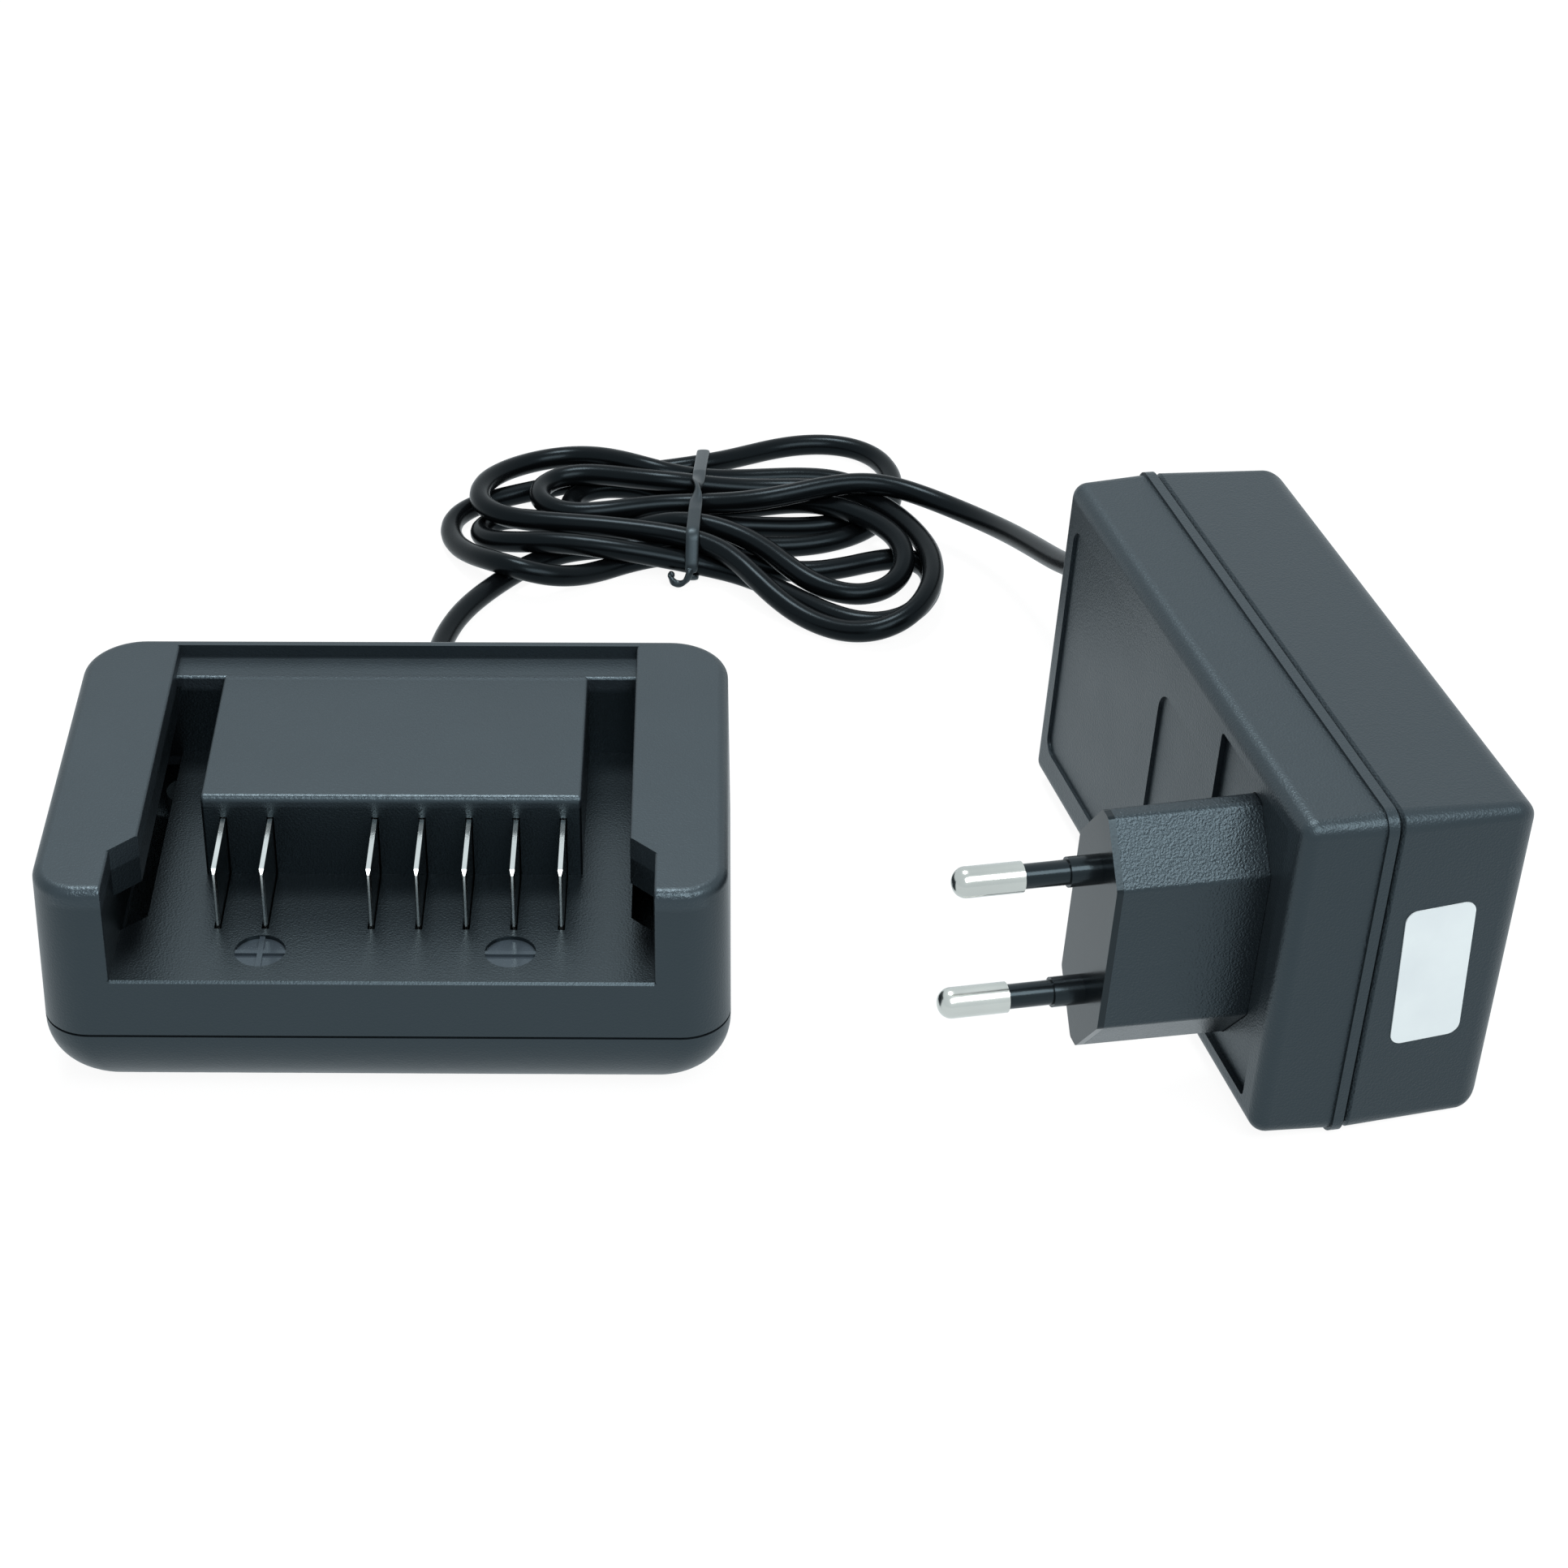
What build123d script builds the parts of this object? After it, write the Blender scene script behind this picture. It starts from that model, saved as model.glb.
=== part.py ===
from build123d import *
import os
from math import atan2, cos, degrees, pi, radians, sin, tan

# Charger for slide-on power tool batteries: a charging cradle, a plug-in mains adapter and
# the tied-up low-voltage cord between them.
# Millimetres, +Z up. The origin is the centre of the cradle's underside, a battery slides
# into the cradle along +Y, and the adapter stands on its long side at +X.

# ---------------------------------------------------------------- cradle housing
CRADLE_WIDTH = 88.4         # over the parting line, along X
CRADLE_DEPTH = 60.0         # over the parting line, along Y
CRADLE_HEIGHT = 34.1
PARTING_HEIGHT = 11.4       # joint between the two halves
CRADLE_DRAFT = 1.1          # degrees, upper walls lean in
CRADLE_WALL = 2.2
FRONT_CORNER = 6.4          # plan radii of the housing
BACK_CORNER = 8.4
TOP_EDGE = 1.4              # rounding of the top edges
BOTTOM_EDGE = 10.9          # rounding of the hull-like bottom edges
HULL_CORNER = 1.2           # smallest plan radius, at the flat of the underside
HULL_STEPS = 6              # sections of the hull between its bottom and its sides
SEAM_GROOVE = 0.35          # shadow line along the parting joint
TONGUE_HEIGHT = 1.2         # locating tongue of the lower half
TONGUE_THICKNESS = 0.9
FIT_GAP = 0.1               # clearance between moulded parts that locate each other

# ---------------------------------------------------------------- battery bay
BAY_FLOOR = 20.2
MOUTH_WIDTH = 69.0          # bay between the wings, also across the undercut rails
MOUTH_DEPTH = 9.4           # front face to the lips
LEAD_IN = 3.2               # slanted start of the lips, along Y
RAIL_GAP = 62.6             # free width between the two lips
LIP_UNDERSIDE = 26.9        # height under the lips, where the battery's rails run
BACK_RIM = 2.35             # wall behind the bay, at the parting line
CORE_SETBACK = 1.5          # start of the lips to the floor openings under them
BLOCK_WIDTH = 49.5          # raised contact block
BLOCK_TOP = 32.4
BLOCK_SETBACK = 23.6        # front face of the housing to the block
BLOCK_EDGE = 0.9
LEDGE_DEPTH = 5.4           # full-width ledge at the back of the bay
BAY_EDGE = 0.4              # small rounding of the bay's visible edges
SILL_EDGE = 0.3             # bevel of the bay floor's front edge
MARK_DIAMETER = 6.6         # plus and minus marks sunk in the bay floor
MARK_SPACING = 32.0
MARK_SETBACK = 6.8          # front face to the marks' centres
MARK_SINK = 0.5
MARK_BAR = 0.7
MARK_BAR_SINK = 0.15

# ---------------------------------------------------------------- contact blades
BLADE_THICKNESS = 0.65
BLADE_PITCH = 6.13
TAP_BLADES = 5              # cell taps and minus, on the right
POWER_BLADES = 2            # plus and sense, on the left
GROUP_STEP = 13.65          # last tap blade to first power blade
LAST_BLADE_X = 22.35
BLADE_REACH = 11.8          # length in front of the block
BLADE_GRIP = 5.0            # length hidden in the block
BLADE_TOP = 29.1
BLADE_NOSE = 0.6            # bevel of the leading edge
SLOT_GAP = 0.15             # free room beside a blade
SLOT_LEAD = 0.35            # slot ahead of each blade
ROOT_INSET = 1.0
TAIL_LENGTH = 2.0
TAIL_DROP = 2.2             # solder tail through the board

# ---------------------------------------------------------------- cradle inside
BOARD_UNDERSIDE = 9.4
BOARD_THICKNESS = 1.6
BOARD_WIDTH = 52.0
BOARD_DEPTH = 40.0
LEG_SHARE = 0.35            # width of a chip's legs in their pitch
POST_DIAMETER = 4.6
PEG_DIAMETER = 1.9
POST_X = 22.5
POST_Y = 17.0
CARRIER_MARGIN = 2.65       # carrier beside the outermost blades
CARRIER_OVERHANG = 0.5      # carrier beyond the blade roots, front and back
CRADLE_CAP = (8.0, 12.0)    # diameter, height
BALANCE_CHIP = (10.0, 5.4, 1.8, 1.25)    # length, width, height, pitch of the legs
REVERSE_DIODE = (7.5, 4.0, 1.0)      # length, diameter, lead
COMPONENT_X = 13.0          # components' centres, left and right of the middle
DIODE_SETBACK = 6.0         # back edge of the board to the diode
BOSS_DIAMETER = 6.0
BOSS_X = 30.0
BOSS_Y = 16.0
BOSS_JOINT = 7.4            # where the upper pillar meets the lower boss
SCREW_DIAMETER = 2.6
SCREW_LENGTH = 9.0
SCREW_HEAD = 5.0
SCREW_HEAD_HEIGHT = 1.8
SCREW_SINK = 3.4            # head seat above the underside
SCREW_SLOT = 0.8

# ---------------------------------------------------------------- cord and its ends
CORD_DIAMETER = 3.4
CORD_HOLE = 6.0             # hole for the strain relief in both housings
RELIEF_FLANGE = 8.4
RELIEF_FLANGE_THICKNESS = 1.6
RELIEF_ROOT = 7.0           # outside diameter next to the wall
RELIEF_TIP = 4.8
CRADLE_RELIEF_LENGTH = 13.0
ADAPTER_RELIEF_LENGTH = 7.0
RELIEF_RINGS = 3
RELIEF_RING_WIDTH = 0.8
RELIEF_RING_DEPTH = 0.5
LEAD_DIAMETER = 1.5         # insulated leads inside the housings
LEAD_BEND = 1.6             # their bend radius
LEAD_RUN = 3.4              # their straight runs at both ends of the bow
LEAD_BOW = 4.5              # height of the bow above the board

# ---------------------------------------------------------------- mains adapter housing
ADAPTER_LENGTH = 88.7       # over the raised band
ADAPTER_WIDTH = 49.3        # over the raised band
BAND_PROUD = 0.3
BAND_WIDTH = 1.4
GROOVE_WIDTH = 0.6
GROOVE_DEPTH = 0.7
REAR_LIP = 0.4              # bevel of the back half's edge at the joint
FRONT_DEPTH = 12.5          # parting plane to the plug-side face
REAR_DEPTH = 19.0           # parting plane to the back face
FRONT_DRAFT = 3.1
REAR_DRAFT = 2.5
ADAPTER_CORNER = 2.4
FRONT_EDGE = 2.2            # rounding of the plug-side face
REAR_EDGE = 3.4             # rounding of the back face
ADAPTER_WALL = 2.0
INNER_EDGE = 0.4
ADAPTER_TONGUE = 1.6
ADAPTER_X = 112.8           # where the adapter stands
ADAPTER_Y = 8.4
ADAPTER_YAW = 14.6          # degrees its long axis leans from +Y towards -X
PANEL_SINK = 0.5            # shallow panels in the plug-side face
LABEL_PANEL = (31.3, 36.6, 2.2)      # along, across, corner radius
LABEL_SETBACK = 4.85        # far end of the adapter to the label panel
BADGE_PANEL = (15.6, 28.8, 3.0)
PLUG_PANEL = (22.6, 41.0, 0.8)
PLUG_PANEL_SINK = 0.8
STICKER_LENGTH = 20.6
STICKER_WIDTH = 9.5
STICKER_THICKNESS = 0.15
STICKER_SETBACK = 8.0       # parting plane to the sticker's centre
STICKER_TURN = 3.5
STICKER_CORNER = 1.6

# ---------------------------------------------------------------- mains plug
PLUG_SETBACK = 16.65        # near end of the adapter to the plug's axis
PLUG_FACE = 31.8            # parting plane to the plug's engaging face
PLUG_LENGTH = 35.3          # standard outline of the flat two-pole plug
PLUG_WIDTH = 13.7
PLUG_TIP_WIDTH = 2.0        # flat at each end of the hexagon
PLUG_SHOULDER = 10.5        # half-height where the sloping flanks begin
PLUG_DRAFT = 0.8
PLUG_ROUND = 0.8
PLUG_WALL = 1.8
PLUG_FLANGE = 1.5           # flange inside the housing
CARRIER_RIM = 0.9
CARRIER_DEPTH = 8.0
PIN_SPACING = 18.6
PIN_DIAMETER = 4.0
PIN_LENGTH = 19.0
PIN_BARE = 9.0              # bare metal at the tip
PIN_CORE = 2.4              # core under the insulating sleeve
PIN_INSIDE = 11.0           # pin behind the engaging face
SLEEVE_DIAMETER = 3.2
SLEEVE_COLLAR = 3.9
SLEEVE_COLLAR_LENGTH = 4.0
SLEEVE_DISC = 6.5
SLEEVE_DISC_THICKNESS = 0.6
SLEEVE_ROOT = 5.2
SLEEVE_ROOT_LENGTH = 6.0

# ---------------------------------------------------------------- adapter inside
BOARD_GAP = 1.1             # free room between the board and the drafted walls
MAIN_BOARD_LIFT = 1.4       # board above the back wall
MAIN_BOARD_THICKNESS = 1.6
SHELF_SIZE = 5.0
CORE_LENGTH = 24.0          # transformer core, along the adapter
CORE_DEPTH = 8.0
CORE_HEIGHT = 17.0
CORE_YOKE = 4.5
CORE_LIMB = 2.5             # upper and lower limb; the middle one is twice as thick
WINDING_CORNER = 2.0
BOBBIN_WALL = 0.8
BULK_CAP = (12.5, 20.0)     # diameter, height
OUTPUT_CAP = (8.0, 14.0)
BOXED_CAP = (13.0, 6.0, 12.0)
BOXED_CAP_BEVEL = 0.5
CHOKE = (13.0, 6.0, 6.5)    # outside, hole, thickness of the ring core
HEATSINK_THICKNESS = 1.5
HEATSINK_LENGTH = 22.0
HEATSINK_HEIGHT = 16.0
HEATSINK_FINS = 5
POWER_PACKAGE = (10.0, 4.4, 12.0)
PACKAGE_LIFT = 3.0
PACKAGE_LEG = 0.8
MAINS_FUSE = (7.0, 3.5, 0.7)         # length, diameter, lead
BRIDGE_RECTIFIER = (8.5, 6.4, 2.6, 2.1)  # length, width, height, pitch of the legs
OPTOCOUPLER = (4.6, 6.4, 3.4, 2.3)
CONTROL_CHIP = (5.0, 4.0, 1.6, 1.25)
EDGE_ROOM = 2.3             # free strip along the board's long edges
OUTPUT_ROOM = 8.0           # board's output end to the first component
CHOKE_ROOM = 0.6            # board's mains end to the choke
PART_GAP = 0.8              # power devices to the transformer

# ---------------------------------------------------------------- tied-up cord
HANK_HEIGHT = 10.6
LEFT_LOBE = (21.0, 113.6, 23.5, 18.8, 0)   # centre X and Y, half length and width, turn
RIGHT_LOBE = (60.2, 111.8, 17.8, 30.0, 13)
LEFT_LOBE_HEIGHT = 8.4
RIGHT_LOBE_HEIGHT = 9.0
LOBE_ROUND = 4.0
NECK = [(27.5, 96.6), (39.6, 100.5), (53.5, 90.0), (50.0, 140.0), (39.6, 131.5), (27.5, 131.2)]
WAIST_X = 39.6              # where the tie sits
WAIST_Y = 116.0
WAIST_WIDTH = 31.0          # bundle under the tie, along Y
WAIST_LENGTH = 8.0
TIE_WIDTH = 2.2
TIE_THICKNESS = 0.8

# Free stretch from the cradle to the tied bundle, then from the bundle to the adapter.
CRADLE_STRETCH = [
    (-0.2, 59.0, 8.7),
    (-0.5, 67.6, 4.4),
    (-0.1, 76.2, 2.0),
    (1.5, 85.0, 1.72),
    (4.9, 93.0, 1.7),
    (11.0, 102.6, 1.75),
    (19.4, 110.4, 1.8),
]
ADAPTER_STRETCH = [
    (65.0, 117.2, 8.2),
    (74.2, 114.0, 8.5),
    (81.6, 107.7, 9.4),
    (86.7, 98.4, 11.6),
    (90.3, 88.4, 14.7),
    (93.2, 78.6, 18.9),
    (95.6, 71.2, 23.0),
]
EXIT_RUN = 8.4              # straight run out of either strain relief

# ---------------------------------------------------------------- derived places
FRONT_Y = -CRADLE_DEPTH / 2
BACK_Y = CRADLE_DEPTH / 2
LIP_START = FRONT_Y + MOUTH_DEPTH
BLOCK_FRONT = FRONT_Y + BLOCK_SETBACK
BAY_BACK = BACK_Y - BACK_RIM
LEDGE_FRONT = BAY_BACK - LEDGE_DEPTH
FLOOR_UNDERSIDE = BAY_FLOOR - CRADLE_WALL
BOARD_TOP = BOARD_UNDERSIDE + BOARD_THICKNESS
BLADE_FRONT = BLOCK_FRONT - BLADE_REACH

BODY_LENGTH = ADAPTER_LENGTH - 2 * BAND_PROUD
BODY_WIDTH = ADAPTER_WIDTH - 2 * BAND_PROUD
PLUG_OFFSET = ADAPTER_LENGTH / 2 - PLUG_SETBACK
LABEL_CENTRE = -ADAPTER_LENGTH / 2 + LABEL_SETBACK + LABEL_PANEL[0] / 2
BADGE_CENTRE = (LABEL_CENTRE + LABEL_PANEL[0] / 2 + PLUG_OFFSET - PLUG_PANEL[0] / 2) / 2
HEEL = REAR_DEPTH - REAR_EDGE
ADAPTER_TILT = degrees(
    atan2(BAND_PROUD + HEEL * tan(radians(REAR_DRAFT)), HEEL + GROOVE_WIDTH)
)
ADAPTER_LIFT = (
    ADAPTER_WIDTH / 2 * cos(radians(ADAPTER_TILT))
    - GROOVE_WIDTH * sin(radians(ADAPTER_TILT))
)
BOARD_INSET = ADAPTER_WALL + REAR_DEPTH * tan(radians(REAR_DRAFT)) + BOARD_GAP
MAIN_BOARD_LENGTH = BODY_LENGTH - 2 * BOARD_INSET
MAIN_BOARD_WIDTH = BODY_WIDTH - 2 * BOARD_INSET
ROW_REACH = MAIN_BOARD_WIDTH / 2 - EDGE_ROOM
HEATSINK_Y = ROW_REACH - 2 * HEATSINK_THICKNESS
WINDING_WIDTH = 2 * (HEATSINK_Y - POWER_PACKAGE[1] - PART_GAP)
CORE_SPAN = (-CORE_LENGTH / 2, CORE_LENGTH / 2)
WINDING_ROOM = (CORE_HEIGHT - 4 * CORE_LIMB) / 2
CORE_LIMB_TOP = CORE_HEIGHT - CORE_LIMB - WINDING_ROOM
MAIN_BOARD_TOP = -REAR_DEPTH + ADAPTER_WALL + MAIN_BOARD_LIFT + MAIN_BOARD_THICKNESS


def adapter_plane():
    """Adapter frame: X along it towards the plug end, Y up its width, Z along the pins."""
    yaw = radians(ADAPTER_YAW)
    tilt = radians(ADAPTER_TILT)
    along = Vector(sin(yaw), -cos(yaw), 0)
    pins = Vector(-cos(tilt) * cos(yaw), -cos(tilt) * sin(yaw), sin(tilt))
    return Plane(origin=(ADAPTER_X, ADAPTER_Y, ADAPTER_LIFT), x_dir=along, z_dir=pins)


def on_adapter(shape):
    """Move a shape from the adapter's own frame to where the adapter stands."""
    return adapter_plane().location * shape


def span(x, y, z):
    """Box given by its low and high limit along each axis."""
    size = [limits[1] - limits[0] for limits in (x, y, z)]
    middle = [(limits[1] + limits[0]) / 2 for limits in (x, y, z)]
    return Pos(*middle) * Box(*size)


def upright(x, y, z, diameter):
    """Cylinder along Z between two heights."""
    return Pos(x, y, z[0]) * Cylinder(
        diameter / 2, z[1] - z[0], align=(Align.CENTER, Align.CENTER, Align.MIN)
    )


def turned(profile):
    """Solid of revolution about Z from (radius, height) points."""
    outline = Polyline(*[(r, 0, h) for r, h in profile], close=True)
    return revolve(make_face(outline), Axis.Z)


def top_edges(solid):
    """Edges round the highest face."""
    return solid.faces().sort_by(Axis.Z)[-1].edges()


# ================================================================ cradle
def rounded_plan(inset, sharpen):
    """Plan of the cradle with its own front and back corners, inset all round."""
    plan = Rectangle(CRADLE_WIDTH - 2 * inset, CRADLE_DEPTH - 2 * inset)
    corners = plan.vertices().sort_by(Axis.Y)
    plan = fillet(corners[:2], FRONT_CORNER - sharpen)
    corners = plan.vertices().group_by(Axis.Y)[-1]
    return fillet(corners, BACK_CORNER - sharpen)


def cradle_plan(inset):
    return rounded_plan(inset, inset)


def cradle_upper(inset):
    """Drafted upper form above the parting line, with rounded top edges."""
    height = CRADLE_HEIGHT - PARTING_HEIGHT - inset
    form = extrude(Pos(0, 0, PARTING_HEIGHT) * cradle_plan(inset), height, taper=CRADLE_DRAFT)
    return fillet(top_edges(form), max(TOP_EDGE - inset, BAY_EDGE))


def cradle_lower(inset):
    """Hull under the parting line, lofted through plans that shrink along a round profile."""
    radius = BOTTOM_EDGE - inset
    sections = []
    for i in range(HULL_STEPS + 1):
        angle = radians(90 * i / HULL_STEPS)
        shrink = radius * (1 - sin(angle))
        height = inset + radius * (1 - cos(angle))
        sharpen = inset + shrink * (FRONT_CORNER - HULL_CORNER - CRADLE_WALL) / BOTTOM_EDGE
        sections.append(Pos(0, 0, height) * rounded_plan(inset + shrink, sharpen))
    rim = extrude(Pos(0, 0, BOTTOM_EDGE) * cradle_plan(inset), PARTING_HEIGHT - BOTTOM_EDGE)
    return loft(sections) + rim


def contact_block():
    """Raised block that carries the blades, with the full-width ledge behind it."""
    block = span(
        (-BLOCK_WIDTH / 2, BLOCK_WIDTH / 2),
        (BLOCK_FRONT, BAY_BACK + BACK_RIM / 2),
        (FLOOR_UNDERSIDE, BLOCK_TOP),
    )
    block += span(
        (-MOUTH_WIDTH / 2, MOUTH_WIDTH / 2),
        (LEDGE_FRONT, BAY_BACK + BACK_RIM / 2),
        (FLOOR_UNDERSIDE, BLOCK_TOP),
    )
    block = fillet(top_edges(block).sort_by(Axis.Y)[0], BLOCK_EDGE)
    corners = top_edges(block).filter_by_position(Axis.Y, BLOCK_FRONT, LEDGE_FRONT)
    inner = [edge for edge in corners if abs(edge.center().X) < MOUTH_WIDTH / 2 - BAY_EDGE]
    return fillet(inner[1:], BAY_EDGE)


def sill_bevel():
    """Cutter for the bevel along the front edge of the bay floor."""
    front = FRONT_Y + (BAY_FLOOR - PARTING_HEIGHT) * tan(radians(CRADLE_DRAFT))
    back = front + SILL_EDGE
    reach = back - FRONT_Y + CRADLE_WALL
    corners = [(back, BAY_FLOOR), (back - reach, BAY_FLOOR), (back - reach, BAY_FLOOR - reach)]
    wedge = make_face(Polyline(*corners, close=True))
    return extrude(Plane.YZ * wedge, MOUTH_WIDTH / 2, both=True)


def bay_void():
    """Space of the battery bay: mouth, room between the lips and the undercut rails."""
    mouth = MOUTH_WIDTH / 2
    lip = RAIL_GAP / 2
    outline = [
        (-mouth, FRONT_Y - CRADLE_WALL),
        (mouth, FRONT_Y - CRADLE_WALL),
        (mouth, LIP_START),
        (lip, LIP_START + LEAD_IN),
        (lip, BAY_BACK),
        (-lip, BAY_BACK),
        (-lip, LIP_START + LEAD_IN),
        (-mouth, LIP_START),
    ]
    floor = make_face(Polyline(*outline, close=True))
    void = extrude(Pos(0, 0, BAY_FLOOR) * floor, CRADLE_HEIGHT)
    rails = span((-mouth, mouth), (LIP_START, BAY_BACK), (BAY_FLOOR, LIP_UNDERSIDE))
    return void + rails - contact_block()


def rail_openings():
    """Cutters through the floor under both lips, where the mould's cores reached the rails."""
    near = RAIL_GAP / 2
    far = MOUTH_WIDTH / 2
    start = LIP_START + CORE_SETBACK
    outline = [
        (far, start), (far, LEDGE_FRONT), (near, LEDGE_FRONT), (near, start + LEAD_IN),
    ]
    right = make_face(Polyline(*outline, close=True))
    cut = extrude(Pos(0, 0, FLOOR_UNDERSIDE) * right, CRADLE_WALL)
    return cut + mirror(cut, Plane.YZ)


def cradle_cavity():
    """Hollow of the upper half: under the floor, in both wings and inside the block."""
    reach = MOUTH_WIDTH / 2 + CRADLE_WALL
    bay_walls = span((-reach, reach), (-CRADLE_DEPTH, CRADLE_DEPTH), (FLOOR_UNDERSIDE, CRADLE_HEIGHT))
    core = span(
        (-BLOCK_WIDTH / 2 + CRADLE_WALL, BLOCK_WIDTH / 2 - CRADLE_WALL),
        (BLOCK_FRONT + CRADLE_WALL, BAY_BACK - CRADLE_WALL),
        (PARTING_HEIGHT, BLOCK_TOP - CRADLE_WALL),
    )
    return cradle_upper(CRADLE_WALL) - bay_walls + core


def polarity_marks():
    """Cutters for the sunk plus and minus signs, bars left standing."""
    cut = Part()
    for side in (-1, 1):
        x = side * MARK_SPACING / 2
        y = FRONT_Y + MARK_SETBACK
        disc = upright(x, y, (BAY_FLOOR - MARK_SINK, BAY_FLOOR + 1), MARK_DIAMETER)
        half = MARK_DIAMETER / 2
        level = (BAY_FLOOR - MARK_SINK, BAY_FLOOR - MARK_BAR_SINK)
        disc -= span((x - half, x + half), (y - MARK_BAR / 2, y + MARK_BAR / 2), level)
        if side < 0:
            disc -= span((x - MARK_BAR / 2, x + MARK_BAR / 2), (y - half, y + half), level)
        cut += disc
    return cut


def blade_places():
    """X of every contact blade, from right to left: the taps, then the power pair."""
    taps = [LAST_BLADE_X - i * BLADE_PITCH for i in range(TAP_BLADES)]
    power = [taps[-1] - GROUP_STEP - i * BLADE_PITCH for i in range(POWER_BLADES)]
    return taps + power


def blade_slots():
    """Cutters through the bay floor and the block's front wall, one for each blade."""
    half = BLADE_THICKNESS / 2 + SLOT_GAP
    cut = Part()
    for x in blade_places():
        cut += span(
            (x - half, x + half),
            (BLADE_FRONT - SLOT_LEAD, BLOCK_FRONT + BLADE_GRIP + SLOT_GAP),
            (FLOOR_UNDERSIDE - 1, BLADE_TOP + SLOT_GAP),
        )
    return cut


def boss_places():
    return [(sx * BOSS_X, sy * BOSS_Y) for sx in (-1, 1) for sy in (-1, 1)]


def seam_cut(height):
    """Ring that opens the shadow line on the outside of the parting joint."""
    outer = extrude(Pos(0, 0, height) * cradle_plan(-1), SEAM_GROOVE)
    inner = extrude(Pos(0, 0, height) * cradle_plan(SEAM_GROOVE), SEAM_GROOVE)
    return outer - inner


def relief_seat(wall):
    """Cutter for a strain relief's seat: flange pocket inside, neck hole, root outside."""
    room = 4 * FIT_GAP
    neck = upright(0, 0, (-wall, 0), CORD_HOLE)
    pocket = upright(0, 0, (-wall - 2 * RELIEF_FLANGE_THICKNESS, -wall), RELIEF_FLANGE + room)
    outside = upright(0, 0, (0, RELIEF_FLANGE_THICKNESS), RELIEF_ROOT + room)
    return pocket + neck + outside


def cradle_relief_place():
    return Pos(0, BACK_Y, PARTING_HEIGHT) * Rot(-90, 0, 0)


def round_lips(shell):
    """Shell with the bay's upper edges at both wings slightly rounded."""
    rims = shell.edges().filter_by_position(Axis.Z, CRADLE_HEIGHT - FIT_GAP, CRADLE_HEIGHT)
    inner = rims.filter_by_position(Axis.X, -MOUTH_WIDTH / 2, MOUTH_WIDTH / 2)
    lips = [edge for edge in inner if abs(edge.center().X) > BLOCK_WIDTH / 2]
    return fillet(lips, BAY_EDGE)


def cradle_top_shell():
    shell = round_lips(cradle_upper(0) - cradle_cavity() - bay_void() - rail_openings())
    shell -= sill_bevel()
    for x, y in boss_places():
        pillar = upright(x, y, (BOSS_JOINT, FLOOR_UNDERSIDE), BOSS_DIAMETER)
        shell += pillar
        depth = SCREW_SINK + SCREW_LENGTH + 1
        shell -= upright(x, y, (0, depth), SCREW_DIAMETER)
    outer = extrude(Pos(0, 0, PARTING_HEIGHT) * cradle_plan(0), TONGUE_HEIGHT + FIT_GAP)
    rim = CRADLE_WALL - TONGUE_THICKNESS - FIT_GAP
    groove = extrude(Pos(0, 0, PARTING_HEIGHT) * cradle_plan(rim), TONGUE_HEIGHT + FIT_GAP)
    inside = outer & groove
    shell -= inside - extrude(
        Pos(0, 0, PARTING_HEIGHT) * cradle_plan(CRADLE_WALL + 1), TONGUE_HEIGHT + FIT_GAP
    )
    shell -= seam_cut(PARTING_HEIGHT)
    shell -= blade_slots()
    shell -= polarity_marks()
    return shell - cradle_relief_place() * relief_seat(CRADLE_WALL)


def cradle_bottom_shell():
    shell = cradle_lower(0) - cradle_lower(CRADLE_WALL)
    tongue = extrude(
        Pos(0, 0, PARTING_HEIGHT) * cradle_plan(CRADLE_WALL - TONGUE_THICKNESS), TONGUE_HEIGHT
    )
    tongue -= extrude(Pos(0, 0, PARTING_HEIGHT) * cradle_plan(CRADLE_WALL), TONGUE_HEIGHT)
    shell += tongue
    for sx in (-1, 1):
        for sy in (-1, 1):
            x = sx * POST_X
            y = sy * POST_Y
            shell += upright(x, y, (CRADLE_WALL / 2, BOARD_UNDERSIDE), POST_DIAMETER)
            shell += upright(x, y, (BOARD_UNDERSIDE, BOARD_TOP - FIT_GAP), PEG_DIAMETER)
    for x, y in boss_places():
        boss = upright(x, y, (0, BOSS_JOINT), BOSS_DIAMETER + CRADLE_WALL)
        shell += boss & cradle_lower(0)
        shell -= upright(x, y, (-1, SCREW_SINK), SCREW_HEAD + 4 * FIT_GAP)
        shell -= upright(x, y, (-1, BOSS_JOINT + 1), SCREW_DIAMETER + 2 * FIT_GAP)
    return shell - cradle_relief_place() * relief_seat(CRADLE_WALL)


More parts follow.
